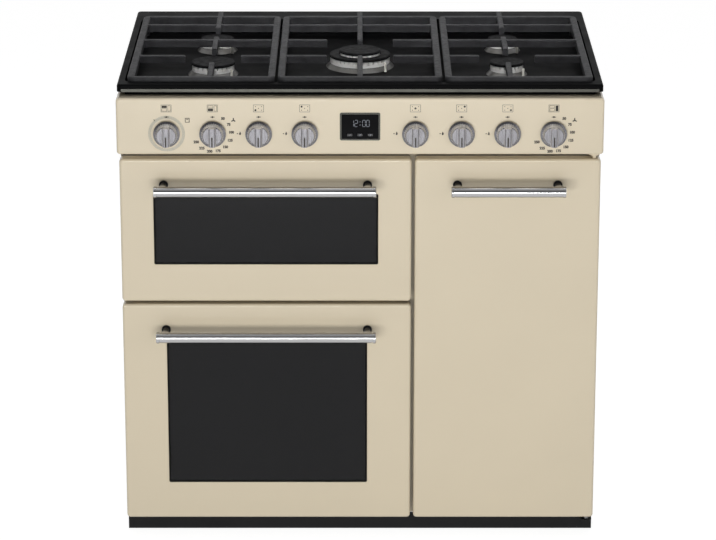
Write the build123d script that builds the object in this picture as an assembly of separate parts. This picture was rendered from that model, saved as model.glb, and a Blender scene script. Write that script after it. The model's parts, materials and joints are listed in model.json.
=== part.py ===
from build123d import *
import math
import os
from dataclasses import dataclass

# Freestanding range cooker, 90 cm class: five gas burners above three ovens.
# Millimetres. +Z is up and the doors face -Y. The origin is on the floor, under the middle
# of the cooker's overall box.

# Cabinet
CABINET_WIDTH = 896.0
BODY_DEPTH = 600.0  # door faces to the back edge of the side panels
RIM_HEIGHT = 899.0  # floor to the hob's rim
BASE_HEIGHT = 33.0  # floor to the underside of the base tray
SHEET = 1.5
TRAY_LIP = 22.0
SIDE_RETURN = 18.0
SIDE_EDGE_RADIUS = 1.2
REAR_RECESS = 26.0  # rear panel ahead of the back edge of the side panels
FIT = 0.3  # gap between pieces that are fitted together
RUN = 0.05  # radial running clearance of a pin or spindle

# Feet and plinth
FOOT_INSET = 60.0
FOOT_PAD_DIAMETER = 44.0
FOOT_PAD_HEIGHT = 9.0
FOOT_PAD_RIM = 3.0
FOOT_STEM_DIAMETER = 20.0
FOOT_STUD_DIAMETER = 10.0
FOOT_STUD_LENGTH = 16.0
PLINTH_RECESS = 34.0  # plinth behind the door faces
PLINTH_FLOOR_GAP = 3.0
PLINTH_RETURN = 22.0
PLINTH_TAB_WIDTH = 40.0
PLINTH_TAB_SPACING = 460.0

# Doors
DOOR_THICKNESS = 42.0
DOOR_SKIN = 1.2
DOOR_FLANGE = 24.0
DOOR_CORNER = 6.5
DOOR_EDGE_RADIUS = 5.0
DOOR_GAP = 6.0
DOOR_BASE_GAP = 6.0
DOOR_TOP_GAP = 16.0
UPPER_DOOR_HEIGHT = 278.0
LEFT_DOOR_WIDTH = 544.0
SEAL_GAP = 4.0
PANE = 4.0
WINDOW_TOP = 66.5
WINDOW_BOTTOM = 72.0
UPPER_WINDOW_SIDE = 61.0
LOWER_WINDOW_SIDE = 81.5
WINDOW_CORNER = 4.0
OUTER_PANE_LAP = 14.0
INNER_PANE_LAP = 24.0
LINER_NESTING = 10.0  # liner edge inside the skin's flange
TUNNEL_MARGIN = 6.0

# Door hinges
HINGE_INSET = 12.0  # axis behind the door face and in from the hinged edge
HINGE_PIN_DIAMETER = 8.0
HINGE_EYE_DIAMETER = 15.0
HINGE_ARM_THICKNESS = 5.0
HINGE_ARM_INSET = 15.0
HINGE_ARM_TAIL = 60.0
HINGE_SLOT_CLEARANCE = 1.0
HINGE_EAR = 5.0
PIVOT_BRACKET = 4.0
PIVOT_BRACKET_WIDTH = 26.0
PIVOT_BRACKET_TAIL = 50.0
PIVOT_ENGAGEMENT = 14.0

# Handles
BAR_DIAMETER = 20.0
BAR_CAP_DIAMETER = 21.5
BAR_CAP_LENGTH = 6.0
BAR_GROOVE = 1.2
HANDLE_STANDOFF = 50.0
HANDLE_DROP = 49.5  # bar axis below the door's top edge
WIDE_BAR_LENGTH = 412.0
NARROW_BAR_LENGTH = 212.0
WIDE_POST_SPACING = 380.0
NARROW_POST_SPACING = 187.0
POST_NECK_DIAMETER = 11.0
POST_FOOT_DIAMETER = 17.0
POST_FOOT_HEIGHT = 5.0
POST_COLLAR_DIAMETER = 19.0
POST_COLLAR_LENGTH = 18.0

# Ovens
OVEN_SHEET = 1.2
OVEN_DEPTH = 418.0
OVEN_CORNER = 16.0
OVEN_FLANGE = 12.0
LEFT_MOUTH_SIDE = 50.0
TALL_MOUTH_SIDE = 38.0
MOUTH_BOTTOM = 40.0
MOUTH_TOP = 44.0
INSULATION = 25.0
SEAL_OFFSET = 5.0
SEAL_WIDTH = 9.0

# Shelves and racks
RACK_WIRE = 4.0
RACK_POST = 5.0
RACK_PITCH = 70.0  # least spacing of the runners
RACK_SETBACK = 45.0
RACK_LENGTH = 300.0
RACK_STANDOFF = 7.0
RACK_MARGIN = 28.0
SHELF_WIRE = 5.0
SHELF_WIRES = 9
SHELF_INFILL_WIRE = 4.0
SHELF_SIDE_GAP = 3.0
UPPER_SHELVES = [0]  # rack levels that hold a shelf
MAIN_SHELVES = [1]
TALL_SHELVES = [2, 5]

# Heating
RING_DIAMETER = 176.0
RING_TUBE = 7.0
RING_TERMINAL_WIDTH = 24.0
RING_TERMINAL_HEIGHT = 5.0
GRILL_TUBE = 7.0
GRILL_LOOPS = 3
GRILL_BEND_SHARE = 0.45  # bend radius over the spacing of the runs
GRILL_DROP = 16.0
GRILL_MARGIN = 60.0
FAN_DIAMETER = 140.0
FAN_HEIGHT = 20.0
FAN_BLADES = 12
FAN_DISC = 1.5
FAN_RIM = 2.0
FAN_BLADE_LENGTH = 35.0
FAN_HUB_END = 4.0
FAN_HUB_DIAMETER = 22.0
FAN_SHAFT_DIAMETER = 8.0
FAN_WALL_GAP = 8.0
FAN_COVER_DEPTH = 40.0
FAN_COVER_SIZE = 224.0
FAN_COVER_SLOTS = 12
FAN_COVER_SLOT_WIDTH = 4.0
FAN_COVER_SLOT_LENGTH = 34.0
FAN_COVER_SLOT_RADIUS = 36.0
FAN_OUTLET_LENGTH = 146.0
FAN_OUTLET_WIDTH = 12.0
FAN_OUTLET_SETBACK = 12.0  # outlet ahead of the oven's back wall
MOTOR_DIAMETER = 70.0
MOTOR_LENGTH = 44.0
MOTOR_EDGE_RADIUS = 7.0
LAMP_DIAMETER = 46.0
LAMP_HEIGHT = 16.0
LAMP_DOME = 9.6
LAMP_BACK_GAP = 30.0  # lamp axis ahead of the back wall
LAMP_SIDE_SHARE = 0.3  # of the oven's width, from its middle

# Control panel
PANEL_OVERHANG = 2.0  # panel's ends past the cabinet's sides
PANEL_HEIGHT = 106.5
PANEL_PROUD = 26.0  # panel face ahead of the door faces
PANEL_TOP_GAP = 8.0
PANEL_CORNER = 5.5
PANEL_EDGE_RADIUS = 4.0
PANEL_BACK_BORDER = 14.0
PANEL_WELL_GAP = 1.0  # panel to the hob's well
CLOCK_WIDTH = 74.0
CLOCK_HEIGHT = 52.5
CLOCK_DROP = 53.0  # clock centre below the panel's top edge
CLOCK_CORNER = 3.0
CLOCK_PROUD = 1.0
CLOCK_HOUSING_LAP = 7.0
CLOCK_HOUSING_DEPTH = 22.0
BUTTON_WIDTH = 10.0
BUTTON_HEIGHT = 5.0
BUTTON_PITCH = 19.0
BUTTON_DROP = 15.5
BUTTON_PROUD = 1.8
BUTTON_LENGTH = 9.0
BUTTON_TRAVEL = 1.2
BUTTON_CORNER = 1.2
BUTTON_EDGE = 0.6

# Knobs
KNOB_DROP = 66.5  # knob axis below the panel's top edge
KNOB_FIRST = 102.0  # first knob from the panel's middle
KNOB_END_INSET = 93.0  # last knob from the panel's end
KNOB_SKIRT_DIAMETER = 49.0
KNOB_SKIRT = 3.0
KNOB_DIAMETER = 42.0
KNOB_TAPER = 2.0
KNOB_BODY = 17.0
KNOB_EDGE = 2.0
KNOB_GRIP_WIDTH = 13.0
KNOB_GRIP_HEIGHT = 12.0
KNOB_GRIP_ROUNDING = 3.2
KNOB_FLUTES = 30
KNOB_FLUTE_DIAMETER = 3.0
KNOB_FLUTE_DEPTH = 0.9
KNOB_GAP = 5.0
KNOB_PUSH = 3.5
KNOB_BORE_DEPTH = 16.0
SPINDLE_DIAMETER = 8.0
SPINDLE_FLAT = 2.5  # flat's distance from the spindle axis
SPINDLE_DEPTH = 38.0  # spindle's inner end behind the panel face
SPINDLE_FLAT_DEPTH = 9.5  # flat's end behind the knob
SPINDLE_HOLE_DIAMETER = 13.0

# Gas train
RAIL_DIAMETER = 14.0
RAIL_PLUG_DIAMETER = 17.0
RAIL_DROP = 28.0  # rail axis below the knob axis
RAIL_DEPTH = 50.0  # rail axis behind the panel face
RAIL_END_MARGIN = 26.0
RAIL_BEND = 18.0
SUPPLY_INSET = 44.0
INLET_DIAMETER = 21.0
INLET_LENGTH = 22.0
VALVE_WIDTH = 26.0
VALVE_HEIGHT = 27.0
VALVE_FRONT = 14.0
VALVE_NOSE_DIAMETER = 19.0
VALVE_ROUNDING = 6.5
SWITCH_WIDTH = 44.0
SWITCH_HEIGHT = 34.0
SWITCH_DEPTH = 34.0
SWITCH_CHAMFER = 4.0

# Hob
HOB_OVERHANG = 1.0  # hob's ends past the cabinet's sides
HOB_PROUD = 8.0  # hob's front edge ahead of the door faces
HOB_EDGE = 14.0
HOB_EDGE_RADIUS = 4.0
HOB_CORNER = 8.0
HOB_BORDER = 13.0
HOB_FRONT_BORDER = 17.0
HOB_DECK = 72.0
WELL_DEPTH = 28.0
WELL_CORNER = 22.0
WELL_FILLET = 6.0

# Burners, placed from the hob's ends and its front edge
BURNER_INSET = 170.0  # outer burners from the hob's ends
FRONT_BURNER = 196.0
BURNER_STEP = 128.5  # between the pan stands' cross bars
CUP_FLANGE = 8.0
CUP_FLANGE_WIDTH = 8.0
CUP_DROP = 24.0
CUP_WALL = 3.0
CUP_BASE_SHARE = 0.6  # cup's base radius over its wall radius
CROWN_HEIGHT = 12.0
CROWN_WALL = 9.0
CROWN_SLOT_WIDTH = 2.4
CROWN_SLOT_DEPTH = 6.0
CROWN_SLOT_PITCH = 9.6
CAP_THICKNESS = 4.5
CAP_OVERHANG = 1.5
CAP_EDGE_RADIUS = 2.7
RAPID_DIAMETER = 80.0
MEDIUM_DIAMETER = 62.0
SMALL_DIAMETER = 54.0
WOK_OUTER_DIAMETER = 114.0
WOK_INNER_DIAMETER = 76.0
WOK_STEP = 8.0
IGNITER_DIAMETER = 5.0
IGNITER_GAP = 3.5
IGNITER_HEIGHT = 18.0
IGNITER_ANGLE = 45.0
IGNITER_CHAMFER = 1.2

# Pan stands
STAND_PROUD = 8.0
STAND_BAR = 13.0
STAND_FINGER = 10.0
STAND_HEIGHT = 14.0
STAND_GAP = 5.0
STAND_CLEARANCE = 5.0  # to the walls of the well
STAND_CHAMFER = 1.6
STAND_CORNER = 15.0
CENTRE_STAND_WIDTH = 305.0
STAND_LEG = 11.0
FINGER_CLEARANCE = 5.0  # finger tips to the burner caps
STAND_TAIL_MARGIN = 38.0  # rear tail short of the hob's back edge
STAND_LIFT_GAP = 0.2

# Rear
VENT_SLOT_LENGTH = 46.0
VENT_SLOT_WIDTH = 5.0
VENT_SLOT_PITCH = 14.0
VENT_SLOTS = 6
VENT_COLUMNS = 5
TERMINAL_WIDTH = 120.0
TERMINAL_HEIGHT = 80.0
TERMINAL_DEPTH = 22.0
TERMINAL_INSET = 70.0
GLAND_DIAMETER = 16.0
WALL_HOLE_DIAMETER = 8.0
WALL_HOLE_SPACING = 640.0
WALL_HOLE_DROP = 90.0


@dataclass
class Rect:
    """An upright rectangle in the XZ plane."""

    x0: float
    x1: float
    z0: float
    z1: float

    @property
    def width(self):
        return self.x1 - self.x0

    @property
    def height(self):
        return self.z1 - self.z0

    @property
    def x(self):
        return (self.x0 + self.x1) / 2

    @property
    def z(self):
        return (self.z0 + self.z1) / 2

    def grown(self, margin):
        return Rect(self.x0 - margin, self.x1 + margin, self.z0 - margin, self.z1 + margin)


# Levels and planes that follow from the driving dimensions
KNOB_REACH = PANEL_PROUD + KNOB_GAP + KNOB_BODY + KNOB_GRIP_HEIGHT
FRONT_REACH = max(HANDLE_STANDOFF + BAR_CAP_DIAMETER / 2, KNOB_REACH)
DOOR_Y = (FRONT_REACH - BODY_DEPTH) / 2
PANEL_Y = DOOR_Y - PANEL_PROUD
HOB_Y = DOOR_Y - HOB_PROUD
BACK_Y = DOOR_Y + BODY_DEPTH
FRAME_Y = DOOR_Y + DOOR_THICKNESS + SEAL_GAP
OVEN_Y = FRAME_Y + SHEET
OVEN_BACK_Y = OVEN_Y + OVEN_DEPTH
REAR_Y = BACK_Y - REAR_RECESS
HALF_WIDTH = CABINET_WIDTH / 2
INSIDE = HALF_WIDTH - SHEET
PANEL_WIDTH = CABINET_WIDTH + 2 * PANEL_OVERHANG
HOB_WIDTH = CABINET_WIDTH + 2 * HOB_OVERHANG
PANEL_TOP = RIM_HEIGHT - HOB_EDGE - PANEL_TOP_GAP
PANEL_BOTTOM = PANEL_TOP - PANEL_HEIGHT
DOOR_TOP = PANEL_BOTTOM - DOOR_TOP_GAP
DOOR_BOTTOM = BASE_HEIGHT + DOOR_BASE_GAP
SIDE_TOP = RIM_HEIGHT - HOB_EDGE
KNOB_Z = PANEL_TOP - KNOB_DROP
RAIL_Z = KNOB_Z - RAIL_DROP
WELL_FLOOR = RIM_HEIGHT - WELL_DEPTH
STAND_TOP = RIM_HEIGHT + STAND_PROUD

LEFT_DOOR_EDGE = -HALF_WIDTH + LEFT_DOOR_WIDTH
UPPER_DOOR = Rect(-HALF_WIDTH, LEFT_DOOR_EDGE, DOOR_TOP - UPPER_DOOR_HEIGHT, DOOR_TOP)
LOWER_DOOR = Rect(-HALF_WIDTH, LEFT_DOOR_EDGE, DOOR_BOTTOM, UPPER_DOOR.z0 - DOOR_GAP)
TALL_DOOR = Rect(LEFT_DOOR_EDGE + DOOR_GAP, HALF_WIDTH, DOOR_BOTTOM, DOOR_TOP)


def mouth_of(door, side):
    return Rect(door.x0 + side, door.x1 - side, door.z0 + MOUTH_BOTTOM, door.z1 - MOUTH_TOP)


def window_of(door, side):
    return Rect(door.x0 + side, door.x1 - side, door.z0 + WINDOW_BOTTOM, door.z1 - WINDOW_TOP)


UPPER_MOUTH = mouth_of(UPPER_DOOR, LEFT_MOUTH_SIDE)
LOWER_MOUTH = mouth_of(LOWER_DOOR, LEFT_MOUTH_SIDE)
TALL_MOUTH = mouth_of(TALL_DOOR, TALL_MOUTH_SIDE)
MOUTHS = [UPPER_MOUTH, LOWER_MOUTH, TALL_MOUTH]
FAN_OVENS = [LOWER_MOUTH, TALL_MOUTH]
UPPER_WINDOW = window_of(UPPER_DOOR, UPPER_WINDOW_SIDE)
LOWER_WINDOW = window_of(LOWER_DOOR, LOWER_WINDOW_SIDE)

KNOB_PITCH = (PANEL_WIDTH / 2 - KNOB_END_INSET - KNOB_FIRST) / 3
KNOB_XS = [side * (KNOB_FIRST + KNOB_PITCH * place) for side in (-1, 1) for place in range(4)]
OVEN_KNOBS = {
    "upper": -KNOB_FIRST - 3 * KNOB_PITCH,
    "main": -KNOB_FIRST - 2 * KNOB_PITCH,
    "tall": KNOB_FIRST + 3 * KNOB_PITCH,
}
GAS_KNOBS = {
    "front_left": -KNOB_FIRST - KNOB_PITCH,
    "rear_left": -KNOB_FIRST,
    "wok": KNOB_FIRST,
    "rear_right": KNOB_FIRST + KNOB_PITCH,
    "front_right": KNOB_FIRST + 2 * KNOB_PITCH,
}

BURNER_X = HOB_WIDTH / 2 - BURNER_INSET
REAR_BURNER = FRONT_BURNER + 1.5 * BURNER_STEP
WOK_BURNER = FRONT_BURNER + 0.5 * BURNER_STEP
SINGLE_BURNERS = [
    (-BURNER_X, FRONT_BURNER, RAPID_DIAMETER),
    (BURNER_X, FRONT_BURNER, MEDIUM_DIAMETER),
    (-BURNER_X, REAR_BURNER, MEDIUM_DIAMETER),
    (BURNER_X, REAR_BURNER, SMALL_DIAMETER),
]


def block(x0, x1, y0, y1, z0, z1):
    return Pos((x0 + x1) / 2, (y0 + y1) / 2, (z0 + z1) / 2) * Box(x1 - x0, y1 - y0, z1 - z0)


def facing(x, y, z):
    """A plane that looks out of the cooker's front: local X is right and local Y is up."""
    return Plane(origin=(x, y, z), x_dir=(1, 0, 0), z_dir=(0, -1, 0))


def plate(rect, y0, y1, corner=0.0):
    """An upright plate with rounded corners between two depths."""
    if corner > 0:
        outline = RectangleRounded(rect.width, rect.height, corner)
    else:
        outline = Rectangle(rect.width, rect.height)
    return extrude(facing(rect.x, y1, rect.z) * outline, y1 - y0)


def rod(start, end, diameter):
    """A round rod between two points."""
    along = Vector(*end) - Vector(*start)
    return extrude(Plane(origin=start, z_dir=along) * Circle(diameter / 2), along.length)


def ring_plate(outer, inner, y0, y1, corner, inner_corner):
    return plate(outer, y0, y1, corner) - plate(inner, y0 - FIT, y1 + FIT, inner_corner)


def pan(rect, y0, y1, wall, corner, edge):
    """A pressed front, open at the back, with rounded corners and a rounded front edge."""
    outer = plate(rect, y0, y1, corner)
    outer = fillet(outer.faces().sort_by(Axis.Y)[0].edges(), edge)
    inner = plate(rect.grown(-wall), y0 + wall, y1 + FIT, corner - wall)
    inner = fillet(inner.faces().sort_by(Axis.Y)[0].edges(), edge - wall)
    return outer - inner


def save(name, *pieces):
    """Write one node, with each of its pieces as a solid of its own."""
    solids = [solid for piece in pieces for solid in piece.solids()]
    export_step(Compound(children=solids), os.path.join("parts", name + ".step"))


# Cabinet

def base_tray():
    """A floor with lips at its sides and rear; the front frame closes it."""
    y0 = FRAME_Y + SHEET
    y1 = REAR_Y
    edge = INSIDE - FIT
    tray = block(-edge, edge, y0, y1, BASE_HEIGHT, BASE_HEIGHT + TRAY_LIP)
    tray -= block(-edge + SHEET, edge - SHEET, y0 - FIT, y1 - SHEET, BASE_HEIGHT + SHEET, SIDE_TOP)
    for x, y in foot_places():
        tray -= rod((x, y, 0), (x, y, SIDE_TOP / 2), FOOT_STUD_DIAMETER + 2 * FIT)
    return tray


def foot_places():
    x = INSIDE - FOOT_INSET
    return [(sx * x, y) for sx in (-1, 1) for y in (FRAME_Y + FOOT_INSET, REAR_Y - FOOT_INSET)]


def levelling_feet():
    stem = FOOT_STEM_DIAMETER / 2
    stud = FOOT_STUD_DIAMETER / 2
    pad = FOOT_PAD_DIAMETER / 2
    rise = FOOT_PAD_HEIGHT
    with BuildSketch(Plane.XZ) as profile:
        with BuildLine():
            Polyline((0, 0), (pad, 0), (pad, FOOT_PAD_RIM), (stem, rise), (stem, BASE_HEIGHT))
            Polyline((stem, BASE_HEIGHT), (stud, BASE_HEIGHT), (stud, BASE_HEIGHT + FOOT_STUD_LENGTH))
            Polyline((stud, BASE_HEIGHT + FOOT_STUD_LENGTH), (0, BASE_HEIGHT + FOOT_STUD_LENGTH), (0, 0))
        make_face()
    foot = revolve(profile.sketch, Axis.Z)
    return [Pos(x, y, 0) * foot for x, y in foot_places()]


def plinth():
    """A folded strip that hangs from the base tray by two tabs."""
    y0 = DOOR_Y + PLINTH_RECESS
    top = BASE_HEIGHT - PIVOT_BRACKET - FIT
    edge = HALF_WIDTH - FIT
    strip = block(-edge, edge, y0, y0 + PLINTH_RETURN, PLINTH_FLOOR_GAP, top)
    strip = fillet(strip.edges().filter_by(Axis.X).group_by(Axis.Y)[0], SHEET)
    strip -= block(-edge - FIT, edge + FIT, y0 + SHEET, y0 + PLINTH_RETURN + FIT,
                   PLINTH_FLOOR_GAP + SHEET, top - SHEET)
    for side in (-1, 1):
        x = side * PLINTH_TAB_SPACING / 2
        strip += block(x - PLINTH_TAB_WIDTH / 2, x + PLINTH_TAB_WIDTH / 2,
                       y0 + PLINTH_RETURN - SHEET, y0 + PLINTH_RETURN, top - SHEET, BASE_HEIGHT)
    return strip


def side_panel(side):
    """A sheet with its rear edge folded inwards."""
    outer = side * HALF_WIDTH
    inner = side * INSIDE
    fold = side * (HALF_WIDTH - SIDE_RETURN)
    x0, x1 = sorted((outer, inner))
    f0, f1 = sorted((outer, fold))
    sheet = block(x0, x1, FRAME_Y, BACK_Y, BASE_HEIGHT, SIDE_TOP)
    sheet += block(f0, f1, BACK_Y - SHEET, BACK_Y, BASE_HEIGHT, SIDE_TOP)
    outer_edges = sheet.edges().filter_by(Axis.Z).group_by(Axis.Y)[-1].sort_by(Axis.X)
    return fillet(outer_edges[0 if side < 0 else -1], SIDE_EDGE_RADIUS)


def rear_panel():
    """The back sheet with its vent louvres, pipe hole and wall fixing holes."""
    edge = INSIDE - FIT
    field = Rect(-edge, edge, BASE_HEIGHT, SIDE_TOP)
    sheet = plate(field, REAR_Y, REAR_Y + SHEET)
    slot = SlotOverall(VENT_SLOT_LENGTH, VENT_SLOT_WIDTH)
    column_pitch = 2 * edge / (VENT_COLUMNS + 1)
    places = GridLocations(column_pitch, VENT_SLOT_PITCH, VENT_COLUMNS, VENT_SLOTS)
    vents = Sketch() + [place * slot for place in places]
    sheet -= extrude(facing(0, REAR_Y + 2 * SHEET, LOWER_DOOR.z1) * vents, 3 * SHEET)
    sheet -= rod((supply_x(), REAR_Y - FIT, RAIL_Z), (supply_x(), BACK_Y, RAIL_Z), RAIL_DIAMETER + 2 * FIT)
    for side in (-1, 1):
        x = side * WALL_HOLE_SPACING / 2
        z = SIDE_TOP - WALL_HOLE_DROP
        sheet -= rod((x, REAR_Y - FIT, z), (x, BACK_Y, z), WALL_HOLE_DIAMETER)
    return sheet


def terminal_cover():
    """The cover of the mains terminals, with a hole for a cable gland."""
    x0 = -INSIDE + TERMINAL_INSET
    z0 = BASE_HEIGHT + TERMINAL_INSET
    field = Rect(x0, x0 + TERMINAL_WIDTH, z0, z0 + TERMINAL_HEIGHT)
    y0 = REAR_Y + SHEET
    cover = plate(field, y0, y0 + TERMINAL_DEPTH, DOOR_CORNER)
    cover = fillet(cover.faces().sort_by(Axis.Y)[-1].edges(), DOOR_EDGE_RADIUS)
    cover -= plate(field.grown(-2 * SHEET), y0 - FIT, y0 + TERMINAL_DEPTH - 2 * SHEET, DOOR_CORNER / 2)
    y = y0 + TERMINAL_DEPTH / 2
    return cover - rod((field.x, y, z0 - FIT), (field.x, y, z0 + 3 * SHEET), GLAND_DIAMETER)


def front_frame():
    """The enamelled front that the ovens, the seals and the control panel sit on."""
    edge = INSIDE - FIT
    top = WELL_FLOOR - SHEET - FIT
    sheet = plate(Rect(-edge, edge, BASE_HEIGHT, top), FRAME_Y, OVEN_Y)
    for mouth in MOUTHS:
        sheet -= plate(mouth, FRAME_Y - FIT, OVEN_Y + FIT, OVEN_CORNER)
    service = Rect(-edge, edge, PANEL_BOTTOM, top).grown(-PANEL_BACK_BORDER)
    sheet -= plate(service, FRAME_Y - FIT, OVEN_Y + FIT, OVEN_CORNER)
    x = supply_x()
    sheet -= rod((x, FRAME_Y - FIT, RAIL_Z), (x, OVEN_Y + FIT, RAIL_Z), RAIL_DIAMETER + 2 * FIT)
    for door in (UPPER_DOOR, LOWER_DOOR):
        for x in hinge_arm_places(door):
            half = HINGE_ARM_THICKNESS / 2 + FIT
            rise = HINGE_EYE_DIAMETER / 2 + FIT
            z = door.z0 + HINGE_INSET
            sheet -= block(x - half, x + half, FRAME_Y - FIT, OVEN_Y + FIT, z - rise, z + rise)
    return sheet


# Ovens

def oven_cavity(mouth, has_fan):
    """A liner open at the front, with a flange behind the front frame."""
    outer = mouth.grown(OVEN_SHEET)
    liner = plate(outer, OVEN_Y, OVEN_BACK_Y, OVEN_CORNER + OVEN_SHEET)
    liner += plate(outer.grown(OVEN_FLANGE), OVEN_Y, OVEN_Y + OVEN_SHEET, OVEN_CORNER + OVEN_FLANGE)
    liner -= plate(mouth, OVEN_Y - FIT, OVEN_BACK_Y - OVEN_SHEET, OVEN_CORNER)
    if has_fan:
        liner -= rod((mouth.x, OVEN_BACK_Y - 3 * OVEN_SHEET, mouth.z),
                     (mouth.x, OVEN_BACK_Y + FIT, mouth.z), FAN_SHAFT_DIAMETER + 8 * FIT)
    return liner


def oven_insulation(mouth, has_fan):
    """A mineral wool jacket round one oven."""
    inner = mouth.grown(OVEN_SHEET + FIT)
    jacket_front = OVEN_Y + OVEN_SHEET + FIT
    jacket = plate(inner.grown(INSULATION), jacket_front, OVEN_BACK_Y + FIT + INSULATION, OVEN_CORNER)
    jacket -= plate(inner, jacket_front - FIT, OVEN_BACK_Y + FIT, OVEN_CORNER + OVEN_SHEET)
    if has_fan:
        jacket -= rod((mouth.x, OVEN_BACK_Y, mouth.z),
                      (mouth.x, OVEN_BACK_Y + 2 * INSULATION, mouth.z), MOTOR_DIAMETER + 2 * FIT)
    return jacket


def door_seal(mouth):
    inner = mouth.grown(SEAL_OFFSET)
    outer = inner.grown(SEAL_WIDTH)
    corner = OVEN_CORNER + SEAL_OFFSET
    seal = ring_plate(outer, inner, FRAME_Y - SEAL_GAP + FIT, FRAME_Y, corner + SEAL_WIDTH, corner)
    return fillet(seal.faces().sort_by(Axis.Y)[0].edges(), (SEAL_GAP - FIT) / 2)


def rack_levels(mouth):
    """Heights of the runners, evenly spread."""
    count = max(2, int((mouth.height - 2 * RACK_MARGIN) // RACK_PITCH) + 1)
    step = (mouth.height - 2 * RACK_MARGIN) / count
    return [mouth.z0 + RACK_MARGIN + step * (place + 0.5) for place in range(count)]


def shelf_rack(mouth, side):
    """A wire ladder that hangs on one side wall of an oven."""
    wall = mouth.x + side * (mouth.width / 2 - FIT - RACK_WIRE / 2)
    runner = wall - side * RACK_STANDOFF
    y0 = OVEN_Y + RACK_SETBACK
    y1 = y0 + RACK_LENGTH
    z0 = mouth.z0 + RACK_MARGIN
    z1 = mouth.z1 - RACK_MARGIN
    rack = rod((runner, y0, z0), (runner, y0, z1), RACK_POST)
    rack += rod((runner, y1, z0), (runner, y1, z1), RACK_POST)
    for z in rack_levels(mouth):
        rack += rod((runner, y0, z), (runner, y1, z), RACK_WIRE)
    for y in (y0, y1):
        for z in (z0 + RACK_WIRE, z1 - RACK_WIRE):
            rack += rod((runner, y, z), (wall + side * RACK_WIRE / 2, y, z), RACK_WIRE)
    return rack


def wire_shelf(mouth, level):
    """A wire shelf that rests on a pair of runners."""
    half = mouth.width / 2 - SHELF_SIDE_GAP - SHELF_WIRE
    z = rack_levels(mouth)[level] + (RACK_WIRE + SHELF_WIRE) / 2 + FIT
    y0 = OVEN_Y + RACK_SETBACK + RACK_WIRE + SHELF_WIRE
    y1 = y0 + RACK_LENGTH - 2 * RACK_WIRE - 2 * SHELF_WIRE
    reach = half - RACK_STANDOFF
    shelf = rod((mouth.x - half, y0, z), (mouth.x + half, y0, z), SHELF_WIRE)
    shelf += rod((mouth.x - half, y1, z), (mouth.x + half, y1, z), SHELF_WIRE)
    for place in range(SHELF_WIRES):
        x = mouth.x + reach * (2 * place / (SHELF_WIRES - 1) - 1)
        shelf += rod((x, y0, z), (x, y1, z), SHELF_INFILL_WIRE)
    return shelf


def grill_element():
    """A looped element under the roof of the upper oven, fed through its back wall."""
    z = UPPER_MOUTH.z1 - GRILL_DROP
    half = UPPER_MOUTH.width / 2 - GRILL_MARGIN
    pitch = 2 * half / (2 * GRILL_LOOPS - 1)
    front = OVEN_Y + GRILL_MARGIN
    back = OVEN_BACK_Y - GRILL_MARGIN
    wall = OVEN_BACK_Y - OVEN_SHEET - FIT
    points = [(UPPER_MOUTH.x - half, wall, z)]
    for run in range(2 * GRILL_LOOPS):
        x = UPPER_MOUTH.x - half + pitch * run
        ends = (front, back) if run % 2 == 0 else (back, front)
        first, last = ends[::-1]
        if run > 0:
            points.append((x, first, z))
        points.append((x, last, z))
    points[-1] = (points[-1][0], wall, z)
    path = FilletPolyline(*points, radius=pitch * GRILL_BEND_SHARE)
    return sweep(Plane(origin=path @ 0, z_dir=path % 0) * Circle(GRILL_TUBE / 2), path)


def ring_element(mouth):
    """A ring element round a fan, with a terminal block that reaches the back wall."""
    wall = OVEN_BACK_Y - OVEN_SHEET - FIT
    y = wall - FAN_WALL_GAP - FAN_HEIGHT / 2
    ring = facing(mouth.x, y, mouth.z).location * Torus(RING_DIAMETER / 2, RING_TUBE / 2)
    z = mouth.z + RING_DIAMETER / 2
    half = RING_TERMINAL_WIDTH / 2
    rise = RING_TERMINAL_HEIGHT / 2
    return ring + block(mouth.x - half, mouth.x + half, y, wall, z - rise, z + rise)


def oven_fan(mouth):
    """A centrifugal impeller with flat blades on a back disc."""
    wall = OVEN_BACK_Y - OVEN_SHEET
    back = wall - FAN_WALL_GAP
    radius = FAN_DIAMETER / 2
    disc = extrude(facing(0, 0, 0) * Circle(radius), FAN_DISC)
    disc += extrude(facing(0, 0, 0) * Circle(FAN_HUB_DIAMETER / 2), FAN_HEIGHT)
    blade_place = Pos(radius - FAN_RIM - FAN_BLADE_LENGTH / 2, 0)
    blade = extrude(facing(0, 0, 0) * blade_place * Rectangle(FAN_BLADE_LENGTH, FAN_DISC), FAN_HEIGHT)
    for place in range(FAN_BLADES):
        disc += Rot(0, 360 / FAN_BLADES * place, 0) * blade
    disc -= extrude(facing(0, FIT, 0) * Circle(FAN_SHAFT_DIAMETER / 2 + RUN), FAN_HEIGHT - FAN_HUB_END)
    return Pos(mouth.x, back, mouth.z) * disc


def fan_motor(mouth):
    """A motor behind the oven, with a shaft through its back wall into the fan's hub."""
    y0 = OVEN_BACK_Y + FIT
    motor = rod((mouth.x, y0, mouth.z), (mouth.x, y0 + MOTOR_LENGTH, mouth.z), MOTOR_DIAMETER)
    motor = fillet(motor.faces().sort_by(Axis.Y)[-1].edges(), MOTOR_EDGE_RADIUS)
    tip = OVEN_BACK_Y - OVEN_SHEET - FAN_WALL_GAP - FAN_HEIGHT / 2
    return motor + rod((mouth.x, y0, mouth.z), (mouth.x, tip, mouth.z), FAN_SHAFT_DIAMETER)


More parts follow.
